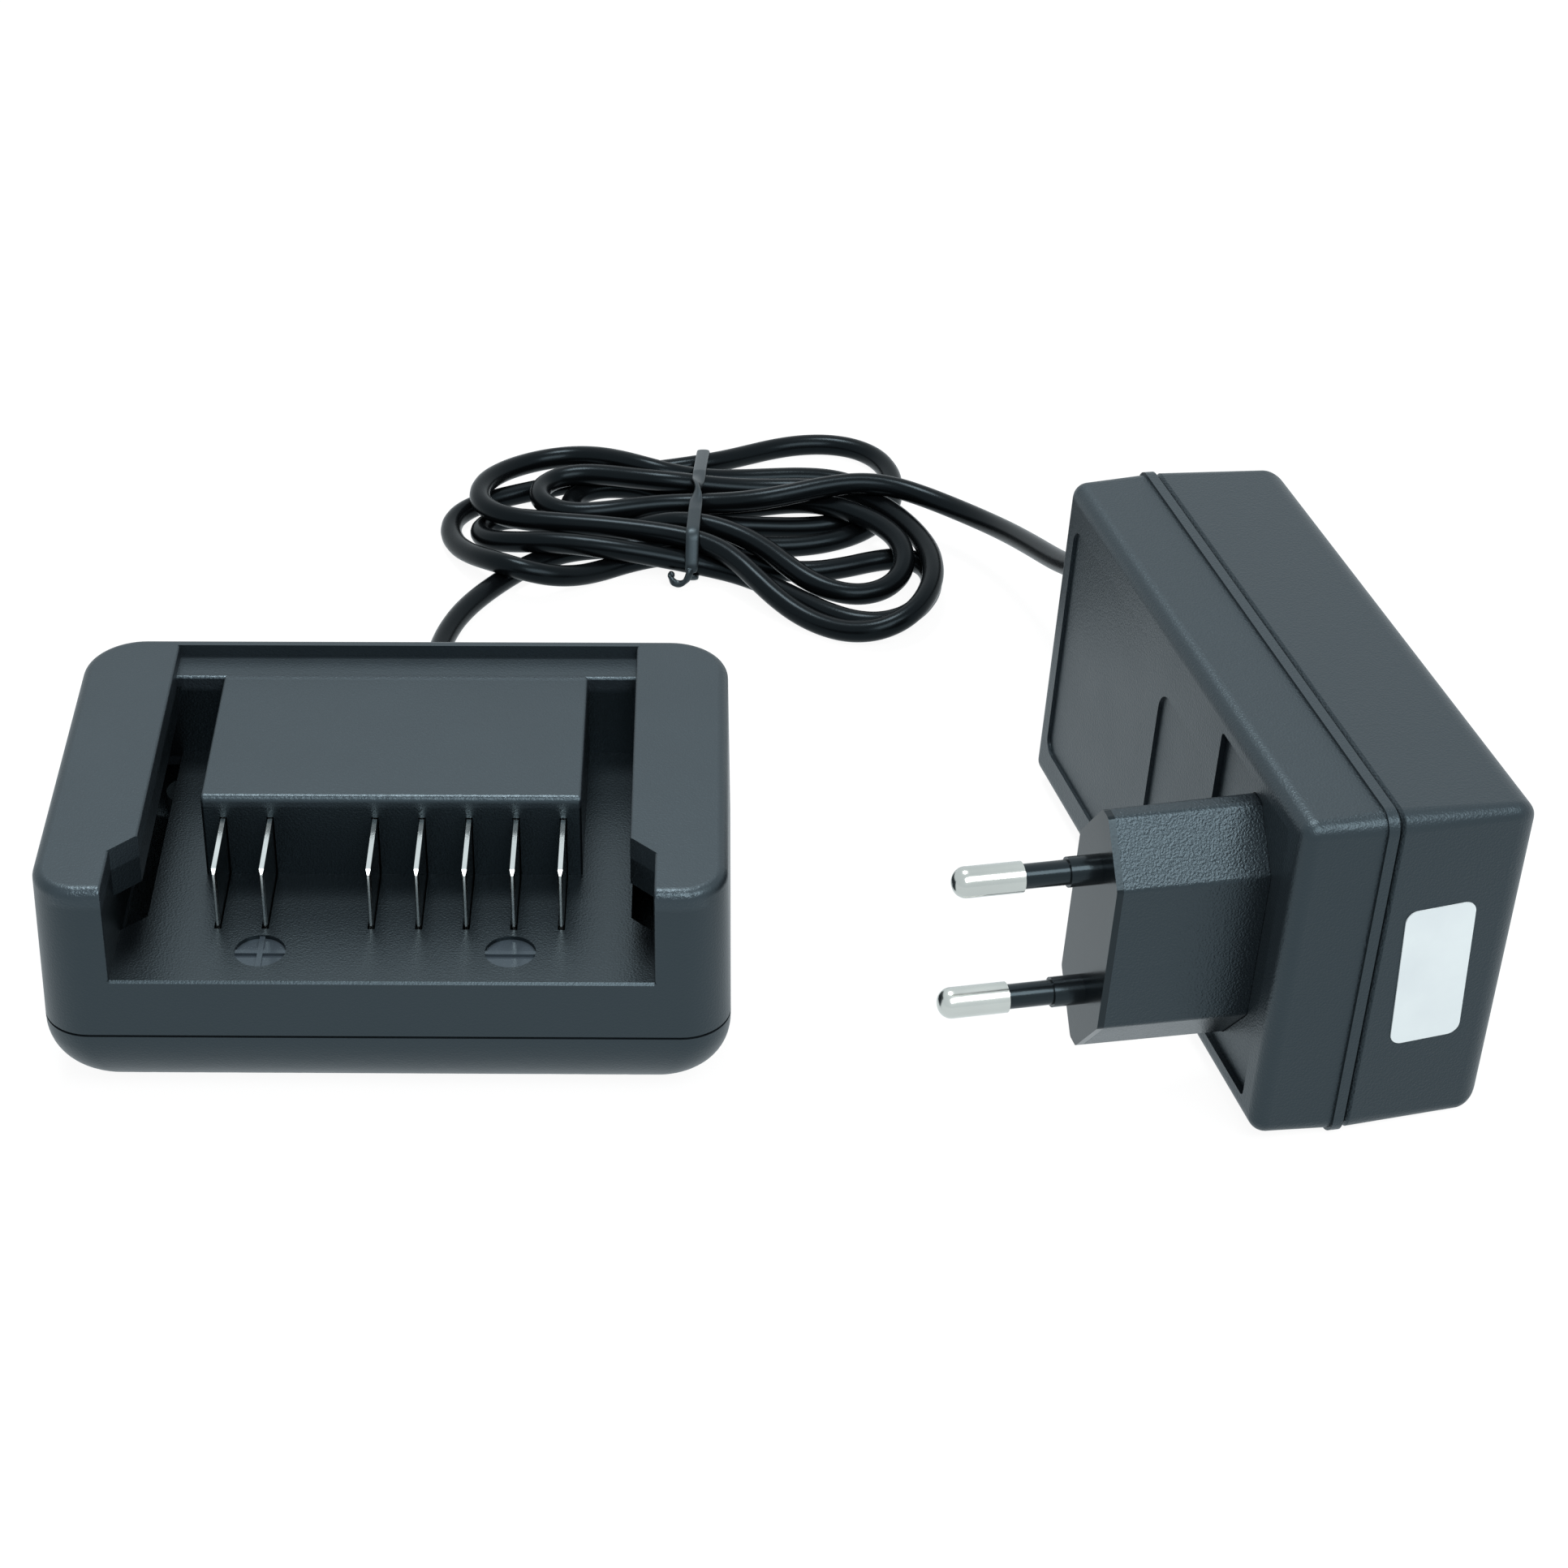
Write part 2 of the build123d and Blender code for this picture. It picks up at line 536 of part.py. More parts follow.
def contact_blade(x):
    """Stamped blade: leading edge in the bay, grip in the block, root and solder tail."""
    root_top = FLOOR_UNDERSIDE
    root_low = BOARD_TOP + ROOT_INSET
    tail_middle = (BLADE_FRONT + BLOCK_FRONT) / 2
    tail = (tail_middle - TAIL_LENGTH / 2, tail_middle + TAIL_LENGTH / 2)
    outline = [
        (BLADE_FRONT, BLADE_TOP),
        (BLADE_FRONT, root_top),
        (BLADE_FRONT + ROOT_INSET, root_top),
        (BLADE_FRONT + ROOT_INSET, root_low),
        (tail[0], root_low),
        (tail[0], BOARD_UNDERSIDE - TAIL_DROP / 2),
        (tail[1], BOARD_UNDERSIDE - TAIL_DROP / 2),
        (tail[1], root_low),
        (BLOCK_FRONT - ROOT_INSET, root_low),
        (BLOCK_FRONT - ROOT_INSET, root_top),
        (BLOCK_FRONT + BLADE_GRIP, root_top),
        (BLOCK_FRONT + BLADE_GRIP, BLADE_TOP),
    ]
    face = make_face(Polyline(*outline, close=True))
    sheet = extrude(Plane.YZ.offset(x - BLADE_THICKNESS / 2) * face, BLADE_THICKNESS)
    corner = sheet.edges().filter_by(Axis.X).sort_by(Axis.Z)[-2:].sort_by(Axis.Y)[0]
    sheet = chamfer(corner, BLADE_NOSE)
    leading = sheet.edges().filter_by(Axis.Z).group_by(Axis.Y)[0]
    return chamfer(leading, length=BLADE_THICKNESS * 0.3, length2=BLADE_NOSE)


def contact_carrier():
    """Moulded comb on the board that holds the blade roots under the bay floor."""
    low = BLADE_FRONT + ROOT_INSET - CARRIER_OVERHANG
    high = BLOCK_FRONT - ROOT_INSET + CARRIER_OVERHANG
    places = blade_places()
    comb = span(
        (min(places) - CARRIER_MARGIN, max(places) + CARRIER_MARGIN),
        (low, high),
        (BOARD_TOP, FLOOR_UNDERSIDE - FIT_GAP),
    )
    for x in places:
        comb -= span(
            (x - BLADE_THICKNESS / 2, x + BLADE_THICKNESS / 2),
            (BLADE_FRONT + ROOT_INSET, BLOCK_FRONT - ROOT_INSET),
            (BOARD_TOP, FLOOR_UNDERSIDE),
        )
    return comb


def cradle_board():
    board = span(
        (-BOARD_WIDTH / 2, BOARD_WIDTH / 2),
        (-BOARD_DEPTH / 2, BOARD_DEPTH / 2),
        (BOARD_UNDERSIDE, BOARD_TOP),
    )
    for sx in (-1, 1):
        for sy in (-1, 1):
            hole = (BOARD_UNDERSIDE - 1, BOARD_TOP + 1)
            board -= upright(sx * POST_X, sy * POST_Y, hole, PEG_DIAMETER + FIT_GAP)
    middle = (BLADE_FRONT + BLOCK_FRONT) / 2
    for x in blade_places():
        board -= span(
            (x - BLADE_THICKNESS / 2, x + BLADE_THICKNESS / 2),
            (middle - TAIL_LENGTH / 2, middle + TAIL_LENGTH / 2),
            (BOARD_UNDERSIDE, BOARD_TOP),
        )
    return board


def canned_capacitor(diameter, height):
    """Electrolytic capacitor: can with a crimp groove near its foot, standing on Z = 0."""
    radius = diameter / 2
    groove = 0.05 * diameter
    foot = 0.15 * height
    return turned([
        (0, 0), (radius - groove, 0), (radius, groove), (radius, foot),
        (radius - groove, foot + groove), (radius, foot + 2 * groove),
        (radius, height - groove), (radius - groove, height), (0, height),
    ])


def chip(length, width, height, pitch):
    """Moulded chip with a row of bent legs on both long sides, standing on Z = 0."""
    body = Pos(0, 0, height / 2) * Box(length, width, height)
    body = chamfer(top_edges(body), 0.15 * height)
    legs = round(length / pitch)
    leg = LEG_SHARE * pitch
    for i in range(legs):
        x = (i - (legs - 1) / 2) * pitch
        for side in (-1, 1):
            low = side * (width / 2 + 2 * leg)
            high = side * (width / 2)
            body += span((x - leg / 2, x + leg / 2), sorted((low, high)), (0, height / 2))
    return body


def axial_part(length, diameter, lead):
    """Axial component lying along X with its leads bent down to Z = 0."""
    level = diameter / 2
    body = Pos(0, 0, level) * Rot(0, 90, 0) * Cylinder(diameter / 2, length)
    for side in (-1, 1):
        end = side * (length / 2 + 2 * lead)
        body += span(sorted((0, end)), (-lead / 2, lead / 2), (level - lead / 2, level + lead / 2))
        body += span((end - lead / 2, end + lead / 2), (-lead / 2, lead / 2), (0, level + lead / 2))
    return body


def cradle_screws():
    """Self-tapping screws from below, domed heads with a cross slot."""
    group = []
    for x, y in boss_places():
        shank = upright(x, y, (SCREW_SINK, SCREW_SINK + SCREW_LENGTH), SCREW_DIAMETER)
        head = upright(x, y, (SCREW_SINK - SCREW_HEAD_HEIGHT, SCREW_SINK), SCREW_HEAD)
        rim = head.faces().sort_by(Axis.Z)[0].edges()
        head = fillet(rim, SCREW_HEAD_HEIGHT / 2)
        low = (SCREW_SINK - SCREW_HEAD_HEIGHT, SCREW_SINK - SCREW_HEAD_HEIGHT / 2)
        half = SCREW_HEAD / 4
        cross = span((x - half, x + half), (y - SCREW_SLOT / 2, y + SCREW_SLOT / 2), low)
        cross += span((x - SCREW_SLOT / 2, x + SCREW_SLOT / 2), (y - half, y + half), low)
        group.append((shank + head - cross).solid())
    return Compound(children=group)


def strain_relief(wall, length):
    """Moulded strain relief along Z: flange inside, neck in the wall, ringed taper outside."""
    root = RELIEF_ROOT / 2
    tip = RELIEF_TIP / 2
    neck = CORD_HOLE / 2 - 2 * FIT_GAP
    flange = RELIEF_FLANGE / 2
    seat = -wall - FIT_GAP
    foot = seat - RELIEF_FLANGE_THICKNESS
    boot = turned([
        (0, foot), (flange, foot), (flange, seat), (neck, seat),
        (neck, 0), (root, 0), (tip, length), (0, length),
    ])
    step = length / (RELIEF_RINGS + 1)
    for i in range(RELIEF_RINGS):
        height = step * (i + 1)
        radius = root + (tip - root) * height / length
        ring = upright(0, 0, (height, height + RELIEF_RING_WIDTH), RELIEF_ROOT + 2)
        ring -= upright(0, 0, (height, height + RELIEF_RING_WIDTH), 2 * (radius - RELIEF_RING_DEPTH))
        boot -= ring
    return boot


def cradle_strain_relief():
    return cradle_relief_place() * strain_relief(CRADLE_WALL, CRADLE_RELIEF_LENGTH)


def wire(points, diameter, radius):
    """Round wire along straight runs joined by arcs of one radius."""
    path = FilletPolyline(*points, radius=radius)
    start = Plane(origin=path @ 0, z_dir=path % 0)
    return sweep(start * Circle(diameter / 2), path=path)


def cradle_leads():
    """Two insulated leads from the cord's end to the back of the board."""
    inner_end = BACK_Y - CRADLE_WALL - RELIEF_FLANGE_THICKNESS - 2 * FIT_GAP
    landing = BOARD_DEPTH / 2 - 3 * LEAD_DIAMETER
    bow = BOARD_TOP + LEAD_BOW
    pair = []
    for side in (-1, 1):
        start = side * LEAD_DIAMETER * 0.6
        end = side * 2 * LEAD_DIAMETER
        route = [
            (start, inner_end, PARTING_HEIGHT),
            (start, inner_end - LEAD_RUN, PARTING_HEIGHT),
            (end, landing + LEAD_RUN, bow),
            (end, landing, bow),
            (end, landing, BOARD_TOP),
        ]
        pair.append(wire(route, LEAD_DIAMETER, LEAD_BEND).solid())
    return Compound(children=pair)


# ================================================================ mains adapter
def adapter_plan(inset):
    """Rounded outline at the parting plane, inset from the drafted body."""
    corner = max(ADAPTER_CORNER - inset, INNER_EDGE + FIT_GAP)
    return RectangleRounded(BODY_LENGTH - 2 * inset, BODY_WIDTH - 2 * inset, corner)


def adapter_form(depth, draft, edge):
    """Half of the housing from the parting plane up, drafted and with a rounded face edge."""
    form = extrude(adapter_plan(0), depth, taper=draft)
    return fillet(top_edges(form), edge)


def adapter_hollow(depth, draft):
    """Inside of one half, one wall within its form."""
    form = extrude(adapter_plan(ADAPTER_WALL), depth - ADAPTER_WALL, taper=draft)
    return fillet(top_edges(form), INNER_EDGE)


def ring(outer_inset, inner_inset, low, high):
    """Frame between two insets of the parting outline."""
    outer = extrude(Pos(0, 0, low) * adapter_plan(outer_inset), high - low)
    return outer - extrude(Pos(0, 0, low) * adapter_plan(inner_inset), high - low)


def adapter_relief_place():
    """Middle of the far end wall, at the parting plane, looking outwards."""
    return Pos(-BODY_LENGTH / 2, 0, 0) * Rot(0, -90, 0)


def plug_outline(grow):
    """Elongated hexagon of the flat plug about its own axis, grown all round."""
    half = PLUG_LENGTH / 2
    flank = PLUG_WIDTH / 2
    tip = PLUG_TIP_WIDTH / 2
    points = [
        (flank, -PLUG_SHOULDER), (flank, PLUG_SHOULDER), (tip, half), (-tip, half),
        (-flank, PLUG_SHOULDER), (-flank, -PLUG_SHOULDER), (-tip, -half), (tip, -half),
    ]
    face = make_face(Polyline(*points, close=True))
    face = fillet(face.vertices(), PLUG_ROUND)
    return Pos(PLUG_OFFSET, 0, 0) * (offset(face, grow) if grow else face)


def plug_prism(grow, low, high):
    """Part of the plug between two depths; it narrows towards the engaging face."""
    lean = (PLUG_FACE - low) * tan(radians(PLUG_DRAFT))
    return extrude(Pos(0, 0, low) * plug_outline(grow + lean), high - low, taper=PLUG_DRAFT)


def panel(size, centre, sink):
    """Cutter for a shallow rounded panel in the plug-side face."""
    along, across, corner = size
    sketch = Pos(centre, 0, FRONT_DEPTH - sink) * RectangleRounded(along, across, corner)
    return extrude(sketch, sink + 1)


def adapter_front_shell():
    shell = adapter_form(FRONT_DEPTH, FRONT_DRAFT, FRONT_EDGE)
    shell += ring(-BAND_PROUD, BAND_WIDTH, GROOVE_WIDTH, GROOVE_WIDTH + BAND_WIDTH)
    shell -= ring(-2 * BAND_PROUD, GROOVE_DEPTH, 0, GROOVE_WIDTH)
    shell -= adapter_hollow(FRONT_DEPTH, FRONT_DRAFT)
    tongue_root = ADAPTER_WALL - FIT_GAP
    shell += ring(tongue_root, ADAPTER_WALL + TONGUE_THICKNESS, 0, GROOVE_WIDTH)
    shell += ring(
        ADAPTER_WALL + 2 * FIT_GAP, ADAPTER_WALL + TONGUE_THICKNESS, -ADAPTER_TONGUE, GROOVE_WIDTH
    )
    shell -= panel(LABEL_PANEL, LABEL_CENTRE, PANEL_SINK)
    shell -= panel(BADGE_PANEL, BADGE_CENTRE, PANEL_SINK)
    shell -= panel(PLUG_PANEL, PLUG_OFFSET, PLUG_PANEL_SINK)
    shell -= plug_prism(FIT_GAP, FRONT_DEPTH - 2 * ADAPTER_WALL, FRONT_DEPTH + 1)
    return shell - adapter_relief_place() * relief_seat(ADAPTER_WALL)


def adapter_rear_shell():
    """Back half, built facing up and turned over, with four shelves for the board."""
    shell = adapter_form(REAR_DEPTH, REAR_DRAFT, REAR_EDGE)
    shell = chamfer(shell.faces().sort_by(Axis.Z)[0].edges(), REAR_LIP)
    shell -= adapter_hollow(REAR_DEPTH, REAR_DRAFT)
    floor = REAR_DEPTH - ADAPTER_WALL
    for sx in (-1, 1):
        for sy in (-1, 1):
            x = sx * (MAIN_BOARD_LENGTH / 2 - SHELF_SIZE)
            y = sy * (MAIN_BOARD_WIDTH / 2 - SHELF_SIZE)
            shell += upright(x, y, (floor - MAIN_BOARD_LIFT, floor + ADAPTER_WALL / 2), SHELF_SIZE)
    shell = Rot(180, 0, 0) * shell
    return shell - adapter_relief_place() * relief_seat(ADAPTER_WALL)


def plug_tower():
    """Hollow hexagonal tower, held by a flange behind the plug-side face."""
    inner_face = FRONT_DEPTH - ADAPTER_WALL
    end = PLUG_FACE - CARRIER_RIM
    tower = plug_prism(0, inner_face - PLUG_FLANGE, end)
    tower += plug_prism(PLUG_FLANGE, inner_face - PLUG_FLANGE, inner_face)
    return tower - plug_prism(-PLUG_WALL, inner_face - PLUG_FLANGE, end)


def pin_places():
    return [(PLUG_OFFSET, side * PIN_SPACING / 2) for side in (1, -1)]


def pin_carrier():
    """End plate of the plug with a plug-in spigot and stepped seats for the pins."""
    end = PLUG_FACE - CARRIER_RIM
    plate = plug_prism(0, end, PLUG_FACE)
    plate += plug_prism(-PLUG_WALL - FIT_GAP, PLUG_FACE - CARRIER_DEPTH, end)
    for x, y in pin_places():
        plate -= upright(x, y, (PLUG_FACE - SLEEVE_DISC_THICKNESS, PLUG_FACE + 1), SLEEVE_DISC)
        plate -= upright(x, y, (PLUG_FACE - SLEEVE_ROOT_LENGTH, PLUG_FACE), SLEEVE_ROOT)
        plate -= upright(x, y, (PLUG_FACE - CARRIER_DEPTH - 1, PLUG_FACE), PIN_CORE)
    return plate


def plug_pin(x, y):
    """Round pin with a domed bare tip and a slimmer core under its sleeve."""
    tip = PIN_DIAMETER / 2
    core = PIN_CORE / 2
    pin = turned([
        (0, -PIN_INSIDE), (core, -PIN_INSIDE), (core, PIN_LENGTH - PIN_BARE),
        (tip, PIN_LENGTH - PIN_BARE), (tip, PIN_LENGTH), (0, PIN_LENGTH),
    ])
    end = pin.faces().sort_by(Axis.Z)[-1].edges()
    pin = fillet(end, 0.9 * tip)
    return Pos(x, y, PLUG_FACE) * pin


def pin_sleeve(x, y):
    """Insulating sleeve: root in the carrier, flush disc, thick collar, thin sleeve."""
    core = PIN_CORE / 2
    sleeve = turned([
        (core, -SLEEVE_ROOT_LENGTH), (SLEEVE_ROOT / 2, -SLEEVE_ROOT_LENGTH),
        (SLEEVE_ROOT / 2, -SLEEVE_DISC_THICKNESS), (SLEEVE_DISC / 2, -SLEEVE_DISC_THICKNESS),
        (SLEEVE_DISC / 2, 0), (SLEEVE_COLLAR / 2, 0), (SLEEVE_COLLAR / 2, SLEEVE_COLLAR_LENGTH),
        (SLEEVE_DIAMETER / 2, SLEEVE_COLLAR_LENGTH), (SLEEVE_DIAMETER / 2, PIN_LENGTH - PIN_BARE),
        (core, PIN_LENGTH - PIN_BARE),
    ])
    return Pos(x, y, PLUG_FACE) * sleeve


def mains_leads():
    """Straight insulated leads from the pins' inner ends down to the board."""
    pair = []
    for x, y in pin_places():
        pair.append(upright(x, y, (MAIN_BOARD_TOP, PLUG_FACE - PIN_INSIDE), LEAD_DIAMETER).solid())
    return Compound(children=pair)


def adapter_sticker():
    """Blank rounded label on the near end wall of the back half."""
    draft = radians(REAR_DRAFT)
    inward = STICKER_SETBACK * tan(draft)
    face = Plane(
        origin=(BODY_LENGTH / 2 - inward, 0, -STICKER_SETBACK),
        x_dir=(0, 1, 0),
        z_dir=(cos(draft), 0, -sin(draft)),
    )
    outline = Rot(0, 0, STICKER_TURN) * RectangleRounded(STICKER_LENGTH, STICKER_WIDTH, STICKER_CORNER)
    return extrude(face * outline, STICKER_THICKNESS)


def main_board():
    return span(
        (-MAIN_BOARD_LENGTH / 2, MAIN_BOARD_LENGTH / 2),
        (-MAIN_BOARD_WIDTH / 2, MAIN_BOARD_WIDTH / 2),
        (MAIN_BOARD_TOP - MAIN_BOARD_THICKNESS, MAIN_BOARD_TOP),
    )


def on_board(x, y, shape):
    """Stand a component on the adapter's board."""
    return Pos(x, y, MAIN_BOARD_TOP) * shape


def chip_reach(chip_size):
    """Width of a chip over its legs."""
    length, width, height, pitch = chip_size
    return width + 4 * LEG_SHARE * pitch


def axial_reach(axial_size):
    """Length of an axial part over its bent leads."""
    length, diameter, lead = axial_size
    return length + 5 * lead


def in_row(low, high, widths):
    """Centres of parts with these widths, spread evenly between two limits."""
    gap = (high - low - sum(widths)) / (len(widths) - 1)
    places = []
    for width in widths:
        places.append(low + width / 2)
        low += width + gap
    return places


def transformer_core():
    """Ferrite frame of two E halves: yokes, outer limbs and the limb through the winding."""
    core = span(CORE_SPAN, (-CORE_DEPTH / 2, CORE_DEPTH / 2), (0, CORE_HEIGHT))
    reach = CORE_LENGTH / 2 - CORE_YOKE
    for low in (CORE_LIMB, CORE_LIMB_TOP):
        core -= span((-reach, reach), (-CORE_DEPTH, CORE_DEPTH), (low, low + WINDING_ROOM))
    return core


def transformer_bobbin():
    """Bobbin: tube round the middle limb, two flanges and the rails it stands on."""
    reach = CORE_LENGTH / 2 - CORE_YOKE - FIT_GAP
    limb = (CORE_LIMB + WINDING_ROOM, CORE_LIMB_TOP)
    window = (CORE_LIMB + FIT_GAP, CORE_HEIGHT - CORE_LIMB - FIT_GAP)
    side = CORE_DEPTH / 2 + FIT_GAP
    tube = span(
        (-reach, reach), (-side - BOBBIN_WALL, side + BOBBIN_WALL),
        (limb[0] - FIT_GAP - BOBBIN_WALL, limb[1] + FIT_GAP + BOBBIN_WALL),
    )
    body = tube
    for end in ((-reach, -reach + BOBBIN_WALL), (reach - BOBBIN_WALL, reach)):
        body += span(end, (-WINDING_WIDTH / 2, WINDING_WIDTH / 2), window)
    for rail in ((-WINDING_WIDTH / 2, -side), (side, WINDING_WIDTH / 2)):
        body += span((-reach, reach), rail, (0, CORE_LIMB + BOBBIN_WALL))
    hole = span((-reach, reach), (-side, side), (limb[0] - FIT_GAP, limb[1] + FIT_GAP))
    return body - hole


def transformer_winding():
    """Taped winding between the bobbin's flanges, wound round its tube."""
    reach = CORE_LENGTH / 2 - CORE_YOKE - 2 * FIT_GAP - BOBBIN_WALL
    low = CORE_LIMB + BOBBIN_WALL + FIT_GAP
    high = CORE_HEIGHT - CORE_LIMB - 2 * FIT_GAP
    outline = Pos(0, (low + high) / 2) * RectangleRounded(WINDING_WIDTH, high - low, WINDING_CORNER)
    side = CORE_DEPTH / 2 + FIT_GAP + BOBBIN_WALL
    tube = (CORE_LIMB + WINDING_ROOM - FIT_GAP - BOBBIN_WALL, CORE_LIMB_TOP + FIT_GAP + BOBBIN_WALL)
    hole = Pos(0, (tube[0] + tube[1]) / 2) * Rectangle(2 * side, tube[1] - tube[0])
    coil = extrude(Plane.YZ.offset(-reach) * (outline - hole), 2 * reach)
    return coil


def ring_choke():
    """Common-mode choke: wound ferrite ring on edge in a small clip-on foot."""
    outer, hole, thick = CHOKE
    core = Rot(90, 0, 0) * (Cylinder(outer / 2, thick) - Cylinder(hole / 2, thick))
    low = -outer / 2
    return core + span((-outer / 4, outer / 4), (-thick / 2, thick / 2), (low, low + thick / 4))


def suppression_capacitor():
    """Boxed film capacitor with a bevelled top."""
    length, width, height = BOXED_CAP
    box = span((-length / 2, length / 2), (-width / 2, width / 2), (0, height))
    return chamfer(top_edges(box), BOXED_CAP_BEVEL)


def heatsink():
    """Upright aluminium plate whose inner face lies on Y = 0, with fins towards +Y."""
    half = HEATSINK_LENGTH / 2
    plate = span((-half, half), (0, HEATSINK_THICKNESS), (0, HEATSINK_HEIGHT))
    pitch = (HEATSINK_LENGTH - HEATSINK_THICKNESS) / (HEATSINK_FINS - 1)
    for i in range(HEATSINK_FINS):
        x = -half + i * pitch
        plate += span(
            (x, x + HEATSINK_THICKNESS),
            (HEATSINK_THICKNESS, 2 * HEATSINK_THICKNESS),
            (0, HEATSINK_HEIGHT),
        )
    return plate


def power_package():
    """Three-legged power device with its back on Y = 0, standing on Z = 0."""
    width, depth, height = POWER_PACKAGE
    body = span((-width / 2, width / 2), (-depth, 0), (PACKAGE_LIFT, PACKAGE_LIFT + height))
    body = chamfer(body.faces().sort_by(Axis.Y)[0].edges(), depth / 10)
    for i in (-1, 0, 1):
        x = i * width / 4
        leg = PACKAGE_LEG / 2
        body += span((x - leg, x + leg), (-depth / 2 - leg, -depth / 2 + leg), (0, PACKAGE_LIFT))
    return body


def adapter_strain_relief():
    return adapter_relief_place() * strain_relief(ADAPTER_WALL, ADAPTER_RELIEF_LENGTH)


def output_leads():
    """Two insulated leads from the cord's end to the output side of the board."""
    inner_end = -BODY_LENGTH / 2 + ADAPTER_WALL + RELIEF_FLANGE_THICKNESS + 2 * FIT_GAP
    landing = inner_end + 3 * LEAD_DIAMETER
    pair = []
    for side in (-1, 1):
        y = side * LEAD_DIAMETER * 0.6
        route = [(inner_end, y, 0), (landing, y, 0), (landing, y, MAIN_BOARD_TOP)]
        pair.append(wire(route, LEAD_DIAMETER, LEAD_BEND).solid())
    return Compound(children=pair)


# ================================================================ cord
def corner_radii(points):
    """Arc radius for each corner: 0.45 of the shorter run over the tangent of half the turn."""
    radii = []
    for before, here, after in zip(points, points[1:], points[2:]):
        run_in = Vector(*here) - Vector(*before)
        run_out = Vector(*after) - Vector(*here)
        half_turn = radians(run_in.get_angle(run_out)) / 2
        radii.append(0.45 * min(run_in.length, run_out.length) / tan(half_turn))
    return radii


def cord_tube(name, points):
    radii = corner_radii(points)
    print(name, "radii", [round(r, 1) for r in radii])
    path = FilletPolyline(*points, radius=radii)
    start = Plane(origin=path @ 0, z_dir=path % 0)
    tube = sweep(start * Circle(CORD_DIAMETER / 2), path=path)
    expected = pi * CORD_DIAMETER ** 2 / 4 * path.length
    print(name, "length", round(path.length, 1), "volume ratio", round(tube.volume / expected, 4))
    return tube


def lobe(place, height):
    """Flat oval of cord turns with a rounded upper edge."""
    x, y, half_length, half_width, turn = place
    oval = extrude(Pos(x, y) * Rot(0, 0, turn) * Ellipse(half_length, half_width), height)
    return fillet(top_edges(oval), LOBE_ROUND)


def tie_profile(grow, length):
    """Rounded section of the bundle at the start of a length centred under the tie."""
    width = WAIST_WIDTH + 2 * grow
    height = HANK_HEIGHT - 2 * TIE_THICKNESS + 2 * grow
    start = (WAIST_X - length / 2, WAIST_Y, HANK_HEIGHT / 2)
    section = Plane(origin=start, x_dir=(0, 1, 0), z_dir=(1, 0, 0))
    return section * RectangleRounded(width, height, LOBE_ROUND + grow)


def twist_tie():
    outer = extrude(tie_profile(TIE_THICKNESS, TIE_WIDTH), TIE_WIDTH)
    return outer - extrude(tie_profile(0, TIE_WIDTH), TIE_WIDTH)


def cord_hank():
    """Outer form of the tied loops: two lobes that meet under the tie."""
    neck = extrude(make_face(Polyline(*NECK, close=True)), LEFT_LOBE_HEIGHT)
    neck = chamfer(top_edges(neck), LOBE_ROUND / 2)
    body = lobe(LEFT_LOBE, LEFT_LOBE_HEIGHT) + lobe(RIGHT_LOBE, RIGHT_LOBE_HEIGHT) + neck
    waist = extrude(tie_profile(0, WAIST_LENGTH), WAIST_LENGTH)
    groove = span(
        (WAIST_X - TIE_WIDTH / 2, WAIST_X + TIE_WIDTH / 2),
        (WAIST_Y - WAIST_WIDTH, WAIST_Y + WAIST_WIDTH),
        (-1, HANK_HEIGHT + 1),
    )
    return body - groove + waist


def cradle_cord(hank):
    tip = BACK_Y + CRADLE_RELIEF_LENGTH
    start = [(0, tip, PARTING_HEIGHT), (0, tip + EXIT_RUN, PARTING_HEIGHT)]
    return cord_tube("cord_cradle_end", start + CRADLE_STRETCH) - hank


def adapter_cord(hank):
    plane = adapter_plane()
    tip = -BODY_LENGTH / 2 - ADAPTER_RELIEF_LENGTH
    end = plane.from_local_coords(Vector(tip, 0, 0))
    before = plane.from_local_coords(Vector(tip - EXIT_RUN, 0, 0))
    points = ADAPTER_STRETCH + [tuple(before), tuple(end)]
    return cord_tube("cord_adapter_end", points) - hank


# ================================================================ nodes
def cradle_nodes():
    row = (BLOCK_FRONT + BOARD_DEPTH / 2) / 2
    back = BOARD_DEPTH / 2 - DIODE_SETBACK
    nodes = {
        "cradle_top_shell": cradle_top_shell(),
        "cradle_bottom_shell": cradle_bottom_shell(),
        "contact_carrier": contact_carrier(),
        "cradle_board": cradle_board(),
        "cradle_capacitor": Pos(COMPONENT_X, row, BOARD_TOP) * canned_capacitor(*CRADLE_CAP),
        "balance_chip": Pos(-COMPONENT_X, row, BOARD_TOP) * chip(*BALANCE_CHIP),
        "reverse_diode": Pos(-COMPONENT_X, back, BOARD_TOP) * axial_part(*REVERSE_DIODE),
        "cradle_screws": cradle_screws(),
        "cradle_strain_relief": cradle_strain_relief(),
        "cradle_leads": cradle_leads(),
    }
    for i, x in enumerate(blade_places()):
        nodes[f"contact_blade_{i + 1}"] = contact_blade(x)
    return nodes


